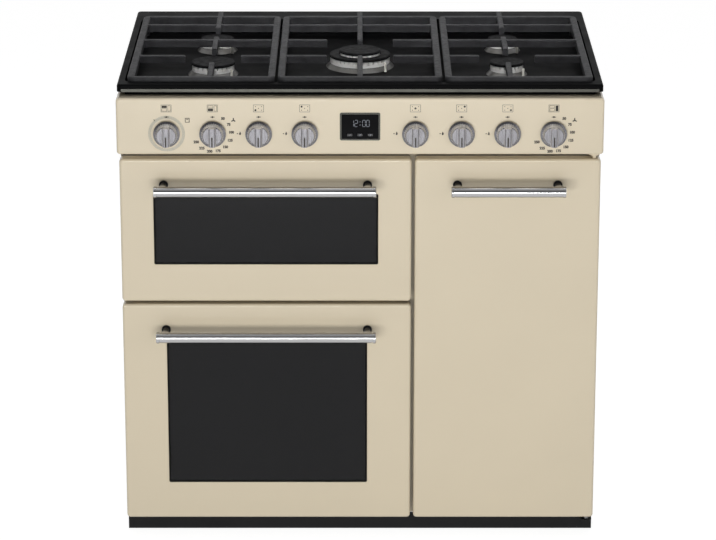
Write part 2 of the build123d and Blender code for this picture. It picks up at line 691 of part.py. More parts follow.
def fan_cover(mouth):
    """A baffle in front of the fan: slots in the middle draw air in, gaps at its edge let it out."""
    wall = OVEN_BACK_Y - OVEN_SHEET
    half = FAN_COVER_SIZE / 2
    field = Rect(mouth.x - half, mouth.x + half, mouth.z - half, mouth.z + half)
    cover = pan(field, wall - FAN_COVER_DEPTH, wall, OVEN_SHEET, OVEN_CORNER, DOOR_EDGE_RADIUS)
    slot = Pos(FAN_COVER_SLOT_RADIUS, 0) * SlotOverall(FAN_COVER_SLOT_LENGTH, FAN_COVER_SLOT_WIDTH)
    for place in range(FAN_COVER_SLOTS):
        opening = facing(mouth.x, wall, mouth.z) * Rot(0, 0, 360 / FAN_COVER_SLOTS * place) * slot
        cover -= extrude(opening, 2 * FAN_COVER_DEPTH)
    reach = field.grown(FIT)
    outlet_back = wall - FAN_OUTLET_SETBACK
    outlet = FAN_OUTLET_LENGTH / 2
    return cover - block(reach.x0, reach.x1, outlet_back - FAN_OUTLET_WIDTH, outlet_back,
                         mouth.z - outlet, mouth.z + outlet)


def oven_lamp(mouth):
    """A domed lamp glass on the roof of an oven, near its back wall."""
    y = OVEN_BACK_Y - OVEN_SHEET - LAMP_BACK_GAP
    x = mouth.x + mouth.width * LAMP_SIDE_SHARE
    top = mouth.z1
    lamp = rod((x, y, top - LAMP_HEIGHT), (x, y, top), LAMP_DIAMETER)
    return fillet(lamp.faces().sort_by(Axis.Z)[0].edges(), LAMP_DOME)


# Doors

def hinge_arm_places(door):
    return [door.x0 + HINGE_ARM_INSET, door.x1 - HINGE_ARM_INSET]


def hinge_slot(door, x):
    """The room that a fixed arm takes up as a drop-down door swings."""
    half = HINGE_ARM_THICKNESS / 2 + HINGE_SLOT_CLEARANCE
    reach = HINGE_EYE_DIAMETER / 2 + HINGE_SLOT_CLEARANCE
    y = DOOR_Y + HINGE_INSET
    z = door.z0 + HINGE_INSET
    return block(x - half, x + half, y - reach, FRAME_Y, door.z0 - FIT, z + reach)


def hinge_arm(door, x):
    """A fixed arm from the front frame, with an eye and a cross pin on the door's axis."""
    y = DOOR_Y + HINGE_INSET
    z = door.z0 + HINGE_INSET
    eye = HINGE_EYE_DIAMETER / 2
    half = HINGE_ARM_THICKNESS / 2
    arm = rod((x - half, y, z), (x + half, y, z), HINGE_EYE_DIAMETER)
    arm += block(x - half, x + half, y, OVEN_Y + HINGE_ARM_TAIL, z - eye, z + eye)
    pin = half + HINGE_SLOT_CLEARANCE + HINGE_EAR
    return arm + rod((x - pin, y, z), (x + pin, y, z), HINGE_PIN_DIAMETER)


def pivot_axis():
    return TALL_DOOR.x1 - HINGE_INSET, DOOR_Y + HINGE_INSET


def pivot_bracket_below():
    """A plate under the base tray, with the tall door's lower pivot pin."""
    x, y = pivot_axis()
    half = PIVOT_BRACKET_WIDTH / 2
    z1 = BASE_HEIGHT
    x1 = min(x + half, INSIDE - FIT)
    bracket = block(x - half, x1, y, OVEN_Y + PIVOT_BRACKET_TAIL, z1 - PIVOT_BRACKET, z1)
    bracket += rod((x, y, z1 - PIVOT_BRACKET), (x, y, z1), 2 * (x1 - x))
    return bracket + rod((x, y, z1), (x, y, DOOR_BOTTOM + PIVOT_ENGAGEMENT), HINGE_PIN_DIAMETER)


def pivot_bracket_above():
    """A plate on the front frame, with the tall door's upper pivot pin."""
    x, y = pivot_axis()
    half = PIVOT_BRACKET_WIDTH / 2
    z1 = PANEL_BOTTOM - FIT
    z0 = DOOR_TOP + DOOR_TOP_GAP / 2 - PIVOT_BRACKET / 2
    x1 = min(x + half, INSIDE - FIT)
    bracket = block(x - half, x1, y, FRAME_Y, z0, z0 + PIVOT_BRACKET)
    bracket += rod((x, y, z0), (x, y, z0 + PIVOT_BRACKET), 2 * (x1 - x))
    bracket += block(x - half, x1, FRAME_Y - PIVOT_BRACKET, FRAME_Y, z0, z1)
    return bracket + rod((x, y, z0), (x, y, DOOR_TOP - PIVOT_ENGAGEMENT), HINGE_PIN_DIAMETER)


def door_skin(door, window=None):
    """The enamelled outer pressing of a door."""
    skin = pan(door, DOOR_Y, DOOR_Y + DOOR_FLANGE, DOOR_SKIN, DOOR_CORNER, DOOR_EDGE_RADIUS)
    if window:
        skin -= plate(window, DOOR_Y - FIT, DOOR_Y + 2 * DOOR_SKIN, WINDOW_CORNER)
        for x in hinge_arm_places(door):
            skin -= hinge_slot(door, x)
    else:
        x, y = pivot_axis()
        skin -= rod((x, y, door.z0 - FIT), (x, y, door.z1 + FIT), HINGE_PIN_DIAMETER + 4 * FIT)
    return skin


def door_panes(mouth, window):
    """The outer and inner glass of a drop-down door."""
    outer = plate(window.grown(OUTER_PANE_LAP), DOOR_Y + DOOR_SKIN, DOOR_Y + DOOR_SKIN + PANE, WINDOW_CORNER)
    back = DOOR_Y + DOOR_THICKNESS
    inner = plate(mouth.grown(INNER_PANE_LAP), back - PANE, back, WINDOW_CORNER)
    return [outer, inner]


def liner_pan(door, back):
    """The pressed inner half of a door, nested inside the skin's flange."""
    outer = door.grown(-DOOR_SKIN - FIT)
    front = DOOR_Y + DOOR_FLANGE - LINER_NESTING
    corner = DOOR_CORNER - DOOR_SKIN
    shell = plate(outer, front, back, corner)
    return shell - plate(outer.grown(-OVEN_SHEET), front - FIT, back - OVEN_SHEET, corner - OVEN_SHEET)


def window_door_liner(door, window):
    """A liner with a tunnel behind the window and bored ears for the hinge pins."""
    back = DOOR_Y + DOOR_THICKNESS - PANE
    liner = liner_pan(door, back)
    opening = window.grown(TUNNEL_MARGIN)
    tunnel_front = DOOR_Y + DOOR_SKIN + PANE + FIT
    liner += plate(opening.grown(OVEN_SHEET), tunnel_front, back, WINDOW_CORNER + OVEN_SHEET)
    liner -= plate(opening, tunnel_front - FIT, back + FIT, WINDOW_CORNER)
    y = DOOR_Y + HINGE_INSET
    z = door.z0 + HINGE_INSET
    reach = HINGE_INSET - DOOR_SKIN - FIT
    half = HINGE_ARM_THICKNESS / 2 + HINGE_SLOT_CLEARANCE + HINGE_EAR
    for x in hinge_arm_places(door):
        ear = block(x - half, x + half, y - reach / 2 - HINGE_PIN_DIAMETER / 4, back, z - reach, z + reach)
        liner += ear
        liner -= hinge_slot(door, x)
        liner -= rod((x - half - FIT, y, z), (x + half + FIT, y, z), HINGE_PIN_DIAMETER + 2 * RUN)
    return liner


def plain_door_liner(door, mouth):
    """The tall door's liner, pressed forward to the seal and bored for two pivot pins."""
    back = DOOR_Y + DOOR_THICKNESS
    step = back - PANE
    liner = liner_pan(door, step)
    field = mouth.grown(INNER_PANE_LAP)
    liner += plate(field, step - OVEN_SHEET, back, WINDOW_CORNER + OVEN_SHEET)
    liner -= plate(field.grown(-OVEN_SHEET), step - 2 * OVEN_SHEET, back - OVEN_SHEET, WINDOW_CORNER)
    x, y = pivot_axis()
    reach = HINGE_INSET - DOOR_SKIN - FIT
    depth = PIVOT_ENGAGEMENT + HINGE_EAR
    room = plate(door.grown(-DOOR_SKIN - FIT), DOOR_Y, step, DOOR_CORNER - DOOR_SKIN)
    for z0, z1 in ((door.z0, door.z0 + depth), (door.z1 - depth, door.z1)):
        liner += room & block(x - reach, x + reach, y - reach / 2 - HINGE_PIN_DIAMETER / 4, step, z0, z1)
    bore = HINGE_PIN_DIAMETER + 2 * RUN
    liner -= rod((x, y, door.z0 - FIT), (x, y, door.z0 + PIVOT_ENGAGEMENT + FIT), bore)
    return liner - rod((x, y, door.z1 + FIT), (x, y, door.z1 - PIVOT_ENGAGEMENT - FIT), bore)


def handle_bar(length):
    """A round bar with grooved end caps, along X."""
    bar = BAR_DIAMETER / 2
    cap = BAR_CAP_DIAMETER / 2
    half = length / 2
    inner = half - BAR_CAP_LENGTH
    groove = bar - BAR_GROOVE
    with BuildSketch(Plane.XY) as profile:
        with BuildLine():
            Polyline((0, 0), (0, bar), (inner - BAR_GROOVE, bar), (inner - BAR_GROOVE, groove))
            Polyline((inner - BAR_GROOVE, groove), (inner, groove), (inner, cap), (half - BAR_GROOVE, cap))
            Polyline((half - BAR_GROOVE, cap), (half, cap - BAR_GROOVE), (half, 0), (0, 0))
        make_face()
    right = revolve(profile.sketch, Axis.X)
    return right + mirror(right, about=Plane.YZ)


def handle_post():
    """A turned standoff along -Y: a foot on the door, a neck and a collar under the bar."""
    foot = POST_FOOT_DIAMETER / 2
    neck = POST_NECK_DIAMETER / 2
    collar = POST_COLLAR_DIAMETER / 2
    shoulder = HANDLE_STANDOFF - POST_COLLAR_LENGTH
    with BuildSketch(Plane.XY) as profile:
        with BuildLine():
            Polyline((0, 0), (foot, 0), (foot, -POST_FOOT_HEIGHT / 2), (neck, -POST_FOOT_HEIGHT))
            Polyline((neck, -POST_FOOT_HEIGHT), (neck, -shoulder), (collar, -shoulder - BAR_GROOVE))
            Polyline((collar, -shoulder - BAR_GROOVE), (collar, -HANDLE_STANDOFF), (0, -HANDLE_STANDOFF), (0, 0))
        make_face()
    post = revolve(profile.sketch, Axis.Y)
    saddle = BAR_DIAMETER + 2 * RUN
    return post - rod((-collar, -HANDLE_STANDOFF, 0), (collar, -HANDLE_STANDOFF, 0), saddle)


def door_handle(door, length, spacing):
    z = door.z1 - HANDLE_DROP
    pieces = [Pos(door.x, DOOR_Y - HANDLE_STANDOFF, z) * handle_bar(length)]
    for side in (-1, 1):
        pieces.append(Pos(door.x + side * spacing / 2, DOOR_Y, z) * handle_post())
    return pieces


# Control panel

def clock_field():
    z = PANEL_TOP - CLOCK_DROP
    return Rect(-CLOCK_WIDTH / 2, CLOCK_WIDTH / 2, z - CLOCK_HEIGHT / 2, z + CLOCK_HEIGHT / 2)


def button_fields():
    z = clock_field().z - BUTTON_DROP
    half = BUTTON_WIDTH / 2
    rise = BUTTON_HEIGHT / 2
    places = [-BUTTON_PITCH, 0.0, BUTTON_PITCH]
    return [Rect(x - half, x + half, z - rise, z + rise) for x in places]


def control_panel():
    """The enamelled facia; its top return is cut away where the hob's well comes down."""
    field = Rect(-PANEL_WIDTH / 2, PANEL_WIDTH / 2, PANEL_BOTTOM, PANEL_TOP)
    panel = pan(field, PANEL_Y, FRAME_Y, SHEET, PANEL_CORNER, PANEL_EDGE_RADIUS)
    panel -= plate(clock_field().grown(FIT), PANEL_Y - FIT, PANEL_Y + 2 * SHEET, CLOCK_CORNER + FIT)
    for x in KNOB_XS:
        panel -= rod((x, PANEL_Y - FIT, KNOB_Z), (x, PANEL_Y + 2 * SHEET, KNOB_Z), SPINDLE_HOLE_DIAMETER)
    notch = well_half() + SHEET + PANEL_WELL_GAP
    notch_front = HOB_Y + HOB_FRONT_BORDER - SHEET - PANEL_WELL_GAP
    notch_floor = WELL_FLOOR - SHEET - PANEL_WELL_GAP
    return panel - block(-notch, notch, notch_front, FRAME_Y + FIT, notch_floor, PANEL_TOP + FIT)


def clock_lens():
    seat = PANEL_Y + SHEET
    lens = plate(clock_field(), PANEL_Y - CLOCK_PROUD, seat, CLOCK_CORNER)
    lens = chamfer(lens.faces().sort_by(Axis.Y)[0].edges(), CLOCK_PROUD / 2)
    for field in button_fields():
        lens -= plate(field.grown(FIT), PANEL_Y - 2 * CLOCK_PROUD, seat + FIT, BUTTON_CORNER + FIT)
    return lens


def clock_housing():
    seat = PANEL_Y + SHEET
    housing = plate(clock_field().grown(CLOCK_HOUSING_LAP), seat, seat + CLOCK_HOUSING_DEPTH, CLOCK_CORNER)
    button_back = PANEL_Y - CLOCK_PROUD - BUTTON_PROUD + BUTTON_LENGTH
    for field in button_fields():
        housing -= plate(field.grown(FIT), seat - FIT, button_back + BUTTON_TRAVEL + FIT, BUTTON_CORNER + FIT)
    return housing


def clock_button(field):
    front = PANEL_Y - CLOCK_PROUD - BUTTON_PROUD
    key = plate(field, front, front + BUTTON_LENGTH, BUTTON_CORNER)
    return fillet(key.faces().sort_by(Axis.Y)[0].edges(), BUTTON_EDGE)


def spindle_section(clearance):
    """A round section with one flat, so that a knob can't slip on it."""
    radius = SPINDLE_DIAMETER / 2 + clearance
    flat = SPINDLE_FLAT + clearance
    trim = Pos(0, flat + radius) * Rectangle(4 * radius, 2 * radius)
    return Circle(radius) - trim


def knob():
    """A skirted knob with a raised grip, built along local Z from the back of its skirt."""
    skirt = KNOB_SKIRT_DIAMETER / 2
    body = KNOB_DIAMETER / 2
    top = body - KNOB_TAPER
    with BuildSketch(Plane.XZ) as profile:
        with BuildLine():
            Polyline((0, 0), (skirt, 0), (skirt, KNOB_SKIRT / 2), (body, KNOB_SKIRT), (top, KNOB_BODY - KNOB_EDGE))
            TangentArc((top, KNOB_BODY - KNOB_EDGE), (top - KNOB_EDGE, KNOB_BODY),
                       tangent=(-KNOB_TAPER, KNOB_BODY - KNOB_EDGE - KNOB_SKIRT))
            Polyline((top - KNOB_EDGE, KNOB_BODY), (0, KNOB_BODY), (0, 0))
        make_face()
    turned = revolve(profile.sketch, Axis.Z)
    grip_rise = KNOB_BODY + KNOB_GRIP_HEIGHT
    grip = extrude(Pos(0, 0, KNOB_BODY / 2) * Rectangle(KNOB_GRIP_WIDTH, KNOB_DIAMETER), grip_rise - KNOB_BODY / 2)
    grip = fillet(grip.faces().sort_by(Axis.Z)[-1].edges().filter_by(Axis.Y), KNOB_GRIP_ROUNDING)
    grip &= Pos(0, 0, grip_rise / 2) * Cylinder(top - KNOB_EDGE / 2, grip_rise)
    return turned - knob_flutes() + grip


def knob_flutes():
    """Grooves round the knob's body, for grip, that run along its taper."""
    foot = KNOB_DIAMETER / 2 + KNOB_FLUTE_DIAMETER / 2 - KNOB_FLUTE_DEPTH
    tip = foot - KNOB_TAPER
    groove = rod((foot, 0, KNOB_SKIRT), (tip, 0, KNOB_BODY), KNOB_FLUTE_DIAMETER)
    turns = [360 / KNOB_FLUTES * (place + 0.5) for place in range(KNOB_FLUTES)]
    return [Rot(0, 0, turn) * groove for turn in turns]


def knob_plane(x):
    return facing(x, PANEL_Y - KNOB_GAP, KNOB_Z).location


def gas_knob(x):
    bore = extrude(spindle_section(RUN), KNOB_BORE_DEPTH)
    return knob_plane(x) * (knob() - bore)


def oven_knob(x):
    """A knob with its own stem, which turns in the switch behind the panel."""
    stem_length = SPINDLE_DEPTH + KNOB_GAP + KNOB_SKIRT
    stem = Pos(0, 0, -SPINDLE_DEPTH - KNOB_GAP) * Cylinder(
        SPINDLE_DIAMETER / 2, stem_length, align=(Align.CENTER, Align.CENTER, Align.MIN)
    )
    return knob_plane(x) * (knob() + stem)


def gas_spindle(x):
    tip = KNOB_GAP + KNOB_BORE_DEPTH - KNOB_PUSH - 2 * FIT
    start = -SPINDLE_DEPTH - KNOB_GAP
    flat_length = tip - KNOB_GAP + SPINDLE_FLAT_DEPTH
    flat_part = extrude(Pos(0, 0, -SPINDLE_FLAT_DEPTH) * spindle_section(0), flat_length)
    round_part = extrude(Pos(0, 0, start) * Circle(SPINDLE_DIAMETER / 2), -SPINDLE_FLAT_DEPTH - start)
    return knob_plane(x) * (flat_part + round_part)


def spindle_bore(x):
    y = PANEL_Y + SPINDLE_DEPTH + FIT
    return rod((x, PANEL_Y - FIT, KNOB_Z), (x, y, KNOB_Z), SPINDLE_DIAMETER + 2 * RUN)


def gas_valve(x):
    """A tap body on the rail, with a nose that seats behind the panel."""
    y0 = PANEL_Y + VALVE_FRONT
    y1 = PANEL_Y + RAIL_DEPTH
    half = VALVE_WIDTH / 2
    valve = block(x - half, x + half, y0, y1, RAIL_Z, KNOB_Z + VALVE_HEIGHT / 2)
    valve = fillet(valve.edges().filter_by(Axis.Y).group_by(Axis.Z)[-1], VALVE_ROUNDING)
    valve += rod((x, PANEL_Y + SHEET, KNOB_Z), (x, y0, KNOB_Z), VALVE_NOSE_DIAMETER)
    valve -= rod((x - VALVE_WIDTH, y1, RAIL_Z), (x + VALVE_WIDTH, y1, RAIL_Z), RAIL_DIAMETER + 2 * RUN)
    return valve - spindle_bore(x)


def oven_switch(x):
    """A rotary switch or thermostat, with a nose that seats behind the panel."""
    y0 = PANEL_Y + VALVE_FRONT
    half = SWITCH_WIDTH / 2
    rise = SWITCH_HEIGHT / 2
    switch = block(x - half, x + half, y0, y0 + SWITCH_DEPTH, KNOB_Z - rise, KNOB_Z + rise)
    switch = chamfer(switch.edges().filter_by(Axis.Y), SWITCH_CHAMFER)
    switch += rod((x, PANEL_Y + SHEET, KNOB_Z), (x, y0, KNOB_Z), VALVE_NOSE_DIAMETER)
    return switch - spindle_bore(x)


def supply_x():
    return INSIDE - SUPPLY_INSET


def gas_rail():
    """The manifold under the taps, its pipe along the cabinet and its inlet at the rear."""
    y = PANEL_Y + RAIL_DEPTH
    start = min(GAS_KNOBS.values()) - RAIL_END_MARGIN
    x = supply_x()
    inlet_front = REAR_Y + SHEET + FIT
    path = FilletPolyline((start, y, RAIL_Z), (x, y, RAIL_Z), (x, inlet_front + FIT, RAIL_Z), radius=RAIL_BEND)
    rail = sweep(Plane(origin=path @ 0, z_dir=path % 0) * Circle(RAIL_DIAMETER / 2), path)
    rail += rod((start - SHEET, y, RAIL_Z), (start, y, RAIL_Z), RAIL_PLUG_DIAMETER)
    return rail + rod((x, inlet_front, RAIL_Z), (x, inlet_front + INLET_LENGTH, RAIL_Z), INLET_DIAMETER)


# Hob

def plan_block(x0, x1, front, rear, z0, z1, corner):
    """A flat block with rounded plan corners; front and rear count from the hob's front edge."""
    outline = Pos((x0 + x1) / 2, HOB_Y + (front + rear) / 2, z0) * RectangleRounded(x1 - x0, rear - front, corner)
    return extrude(outline, z1 - z0)


def hob_depth():
    return BODY_DEPTH + HOB_PROUD


def well_half():
    return HOB_WIDTH / 2 - HOB_BORDER


def well_rear():
    return hob_depth() - HOB_DECK


def hob_top():
    """A pressed hob: a folded outer edge and a sunken well with five burner holes."""
    half = HOB_WIDTH / 2
    depth = hob_depth()
    floor = WELL_FLOOR - SHEET
    rim = plan_block(-half, half, 0, depth, RIM_HEIGHT - HOB_EDGE, RIM_HEIGHT, HOB_CORNER)
    rim = fillet(rim.faces().sort_by(Axis.Z)[-1].edges(), HOB_EDGE_RADIUS)
    rim -= plan_block(-half + SHEET, half - SHEET, SHEET, depth - SHEET, RIM_HEIGHT - HOB_EDGE - FIT,
                      RIM_HEIGHT - SHEET, HOB_CORNER - SHEET)
    wall = well_half() + SHEET
    well = plan_block(-wall, wall, HOB_FRONT_BORDER - SHEET, well_rear() + SHEET, floor,
                      RIM_HEIGHT - SHEET / 2, WELL_CORNER + SHEET)
    well = fillet(well.faces().sort_by(Axis.Z)[0].edges(), WELL_FILLET + SHEET)
    pocket = plan_block(-wall + SHEET, wall - SHEET, HOB_FRONT_BORDER, well_rear(), WELL_FLOOR,
                        RIM_HEIGHT + FIT, WELL_CORNER)
    pocket = fillet(pocket.faces().sort_by(Axis.Z)[0].edges(), WELL_FILLET)
    hob = rim + well - pocket
    for x, y, diameter in SINGLE_BURNERS:
        hob -= burner_hole(x, y, diameter)
    return hob - burner_hole(0, WOK_BURNER, WOK_OUTER_DIAMETER)


def burner_hole(x, y, diameter):
    return Pos(x, HOB_Y + y, WELL_FLOOR) * Cylinder(diameter / 2 - CUP_WALL, 4 * WELL_FILLET)


def burner_cup(x, y, diameter):
    """A flanged cup that hangs in its hole in the hob."""
    outer = diameter / 2 - CUP_WALL - FIT
    flange = diameter / 2 + CUP_FLANGE_WIDTH
    inner = outer - CUP_WALL
    base = outer * CUP_BASE_SHARE
    inner_base = inner * CUP_BASE_SHARE
    with BuildSketch(Plane.XZ) as profile:
        with BuildLine():
            Polyline((0, -CUP_DROP), (base, -CUP_DROP), (outer, -CUP_DROP / 2), (outer, 0), (flange, 0))
            Polyline((flange, 0), (diameter / 2, CUP_FLANGE), (inner, CUP_FLANGE))
            Polyline((inner, CUP_FLANGE), (inner, -CUP_DROP / 2), (inner_base, CUP_WALL - CUP_DROP))
            Polyline((inner_base, CUP_WALL - CUP_DROP), (0, CUP_WALL - CUP_DROP), (0, -CUP_DROP))
        make_face()
    return Pos(x, HOB_Y + y, WELL_FLOOR) * revolve(profile.sketch, Axis.Z)


def burner_crown(x, y, diameter, height):
    """A ring with flame slots round its top edge."""
    radius = diameter / 2
    crown = Cylinder(radius, height) - Cylinder(radius - CROWN_WALL, 2 * height)
    count = int(diameter * math.pi // CROWN_SLOT_PITCH)
    cutter = Box(2 * CROWN_WALL, CROWN_SLOT_WIDTH, CROWN_SLOT_DEPTH)
    level = height / 2 - CROWN_SLOT_DEPTH / 2
    turns = [360 / count * (place + 0.5) for place in range(count)]
    slots = [Rot(0, 0, turn) * Pos(radius, 0, level) * cutter for turn in turns]
    return Pos(x, HOB_Y + y, WELL_FLOOR + CUP_FLANGE + height / 2) * (crown - slots)


def burner_cap(x, y, diameter, base, bore=0.0):
    """An enamelled lid with a rounded edge, or a ring where a bore is given."""
    radius = diameter / 2 + CAP_OVERHANG
    cap = Pos(0, 0, CAP_THICKNESS / 2) * Cylinder(radius, CAP_THICKNESS)
    cap = fillet(cap.faces().sort_by(Axis.Z)[-1].edges(), CAP_EDGE_RADIUS)
    if bore:
        cap -= Cylinder(bore / 2, 4 * CAP_THICKNESS)
    return Pos(x, HOB_Y + y, base) * cap


def wok_ring_bore():
    return WOK_INNER_DIAMETER + 2 * CAP_OVERHANG + 4 * FIT


def burner_cups():
    cups = [burner_cup(x, y, diameter) for x, y, diameter in SINGLE_BURNERS]
    return cups + [burner_cup(0, WOK_BURNER, WOK_OUTER_DIAMETER)]


def burner_crowns():
    crowns = [burner_crown(x, y, diameter, CROWN_HEIGHT) for x, y, diameter in SINGLE_BURNERS]
    crowns.append(burner_crown(0, WOK_BURNER, WOK_OUTER_DIAMETER, CROWN_HEIGHT))
    inner = burner_crown(0, WOK_BURNER, WOK_INNER_DIAMETER, CROWN_HEIGHT + WOK_STEP)
    bridge = WOK_OUTER_DIAMETER / 2 - CROWN_WALL
    web = Pos(0, HOB_Y + WOK_BURNER, WELL_FLOOR + CUP_FLANGE + CUP_WALL / 2) * (
        Cylinder(bridge - FIT, CUP_WALL) - Cylinder(WOK_INNER_DIAMETER / 2 - CROWN_WALL, 2 * CUP_WALL)
    )
    crowns.append(inner + web)
    return crowns


def burner_caps():
    level = WELL_FLOOR + CUP_FLANGE + CROWN_HEIGHT
    caps = [burner_cap(x, y, diameter, level) for x, y, diameter in SINGLE_BURNERS]
    caps.append(burner_cap(0, WOK_BURNER, WOK_OUTER_DIAMETER, level, wok_ring_bore()))
    caps.append(burner_cap(0, WOK_BURNER, WOK_INNER_DIAMETER, level + WOK_STEP))
    return caps


def spark_igniters():
    """A ceramic spark pin beside each burner, standing on the floor of the well."""
    pins = []
    for x, y, diameter in SINGLE_BURNERS + [(0, WOK_BURNER, WOK_OUTER_DIAMETER)]:
        reach = diameter / 2 + CUP_FLANGE_WIDTH + IGNITER_GAP
        away = math.radians(IGNITER_ANGLE)
        pin = Pos(0, 0, IGNITER_HEIGHT / 2) * Cylinder(IGNITER_DIAMETER / 2, IGNITER_HEIGHT)
        pin = chamfer(pin.faces().sort_by(Axis.Z)[-1].edges(), IGNITER_CHAMFER)
        pins.append(Pos(x + reach * math.cos(away), HOB_Y + y - reach * math.sin(away), WELL_FLOOR) * pin)
    return pins


def bar(x0, x1, front, rear):
    """One straight bar of a pan stand in plan."""
    return Pos((x0 + x1) / 2, HOB_Y + (front + rear) / 2) * Rectangle(x1 - x0, rear - front)


def cross_bar(x0, x1, place, middle, half_gap):
    """A left-right bar, broken round a burner where a gap is given."""
    front = place - STAND_FINGER / 2
    rear = place + STAND_FINGER / 2
    if half_gap == 0:
        return bar(x0, x1, front, rear)
    return bar(x0, middle - half_gap, front, rear) + bar(middle + half_gap, x1, front, rear)


def stand_plan(x0, x1, spine, runs, breaks):
    """A pan stand seen from above: a frame, a broken spine and three cross bars."""
    front = HOB_FRONT_BORDER + STAND_CLEARANCE
    rear = well_rear() - STAND_CLEARANCE
    middle = Pos((x0 + x1) / 2, HOB_Y + (front + rear) / 2)
    plan = middle * RectangleRounded(x1 - x0, rear - front, STAND_CORNER)
    plan -= middle * Rectangle(x1 - x0 - 2 * STAND_BAR, rear - front - 2 * STAND_BAR)
    for start, end in runs:
        plan += bar(spine - STAND_FINGER / 2, spine + STAND_FINGER / 2, start, end)
    for place, half_gap in breaks:
        plan += cross_bar(x0 + STAND_BAR / 2, x1 - STAND_BAR / 2, place, spine, half_gap)
    return plan


def pan_stand(x0, x1, spine, runs, breaks):
    """A cast stand on four legs, with a tail that lies on the hob's rear deck."""
    front = HOB_FRONT_BORDER + STAND_CLEARANCE
    rear = well_rear() - STAND_CLEARANCE
    bottom = STAND_TOP - STAND_HEIGHT
    stand = extrude(Pos(0, 0, bottom) * stand_plan(x0, x1, spine, runs, breaks), STAND_HEIGHT)
    stand = chamfer(stand.faces().sort_by(Axis.Z)[-1].edges(), STAND_CHAMFER)
    half = STAND_FINGER / 2
    tail = extrude(Pos(0, 0, RIM_HEIGHT + STAND_LIFT_GAP)
                   * bar(spine - half, spine + half, rear - STAND_BAR / 2, hob_depth() - STAND_TAIL_MARGIN),
                   STAND_PROUD - STAND_LIFT_GAP - STAND_CHAMFER)
    stand += tail
    inset = (STAND_BAR - STAND_LEG) / 2
    for x in (x0 + inset, x1 - inset - STAND_LEG):
        for y in (front + STAND_CORNER, rear - STAND_CORNER - STAND_LEG):
            stand += block(x, x + STAND_LEG, HOB_Y + y, HOB_Y + y + STAND_LEG, WELL_FLOOR + STAND_LIFT_GAP,
                           bottom + STAND_HEIGHT / 2)
    return straight_pieces(stand, x0, x1, spine, front, rear)


def straight_pieces(stand, x0, x1, spine, front, rear):
    """The casting parted into its frame bars, spine, fingers and tail, which touch where they were parted.

    The casting is one piece in use. A grid is too hollow to collide as one body, and straight bars aren't.
    """
    left = x0 + STAND_BAR
    right = x1 - STAND_BAR
    near = front + STAND_BAR
    far = rear - STAND_BAR
    half = STAND_FINGER / 2
    fields = [
        (x0, left, front, rear),
        (right, x1, front, rear),
        (left, right, front, near),
        (left, right, far, rear),
        (left, right, rear, hob_depth()),
        (left, spine - half, near, far),
        (spine - half, spine + half, near, far),
        (spine + half, right, near, far),
    ]
    return [stand & block(a, b, HOB_Y + c, HOB_Y + d, WELL_FLOOR, STAND_TOP) for a, b, c, d in fields]


def side_pan_stand(side):
    """The stand over a front and a rear burner."""
    x0 = CENTRE_STAND_WIDTH / 2 + STAND_GAP
    x1 = well_half() - STAND_CLEARANCE
    front = HOB_FRONT_BORDER + STAND_CLEARANCE
    rear = well_rear() - STAND_CLEARANCE
    first = RAPID_DIAMETER / 2 + CUP_FLANGE_WIDTH + FINGER_CLEARANCE
    second = MEDIUM_DIAMETER / 2 + CAP_OVERHANG + FINGER_CLEARANCE
    runs = [
        (front, FRONT_BURNER - first),
        (FRONT_BURNER + first, REAR_BURNER - second),
        (REAR_BURNER + second, rear),
    ]
    breaks = [(FRONT_BURNER, first), (FRONT_BURNER + BURNER_STEP, 0), (FRONT_BURNER + 2 * BURNER_STEP, 0)]
    pieces = pan_stand(x0, x1, BURNER_X, runs, breaks)
    return pieces if side > 0 else [mirror(piece, about=Plane.YZ) for piece in pieces]


def centre_pan_stand():
    """The stand over the wok burner."""
    half = CENTRE_STAND_WIDTH / 2
    front = HOB_FRONT_BORDER + STAND_CLEARANCE
    rear = well_rear() - STAND_CLEARANCE
    reach = WOK_OUTER_DIAMETER / 2 + CAP_OVERHANG + FINGER_CLEARANCE
    runs = [(front, WOK_BURNER - reach), (WOK_BURNER + reach, rear)]
    breaks = [(FRONT_BURNER, reach), (FRONT_BURNER + BURNER_STEP, reach), (FRONT_BURNER + 2 * BURNER_STEP, 0)]
    return pan_stand(-half, half, 0, runs, breaks)


def write_cabinet():
    save("base_tray", base_tray())
    save("levelling_feet", *levelling_feet())
    save("plinth", plinth())
    save("side_panels", side_panel(-1), side_panel(1))
    save("rear_panel", rear_panel(), terminal_cover())
    save("front_frame", front_frame())


def write_ovens():
    save("upper_oven_cavity", oven_cavity(UPPER_MOUTH, False))
    save("main_oven_cavity", oven_cavity(LOWER_MOUTH, True))
    save("tall_oven_cavity", oven_cavity(TALL_MOUTH, True))
    save("oven_insulation", *[oven_insulation(mouth, mouth in FAN_OVENS) for mouth in MOUTHS])
    save("door_seals", *[door_seal(mouth) for mouth in MOUTHS])
    save("shelf_racks", *[shelf_rack(mouth, side) for mouth in MOUTHS for side in (-1, 1)])
    fitted = zip(MOUTHS, (UPPER_SHELVES, MAIN_SHELVES, TALL_SHELVES))
    save("oven_shelves", *[wire_shelf(mouth, level) for mouth, levels in fitted for level in levels])
    save("heating_elements", grill_element(), *[ring_element(mouth) for mouth in FAN_OVENS])
    save("fan_motors", *[fan_motor(mouth) for mouth in FAN_OVENS])
    save("fan_covers", *[fan_cover(mouth) for mouth in FAN_OVENS])
    save("oven_lamps", *[oven_lamp(mouth) for mouth in MOUTHS])
    save("main_oven_fan", oven_fan(LOWER_MOUTH))
    save("tall_oven_fan", oven_fan(TALL_MOUTH))


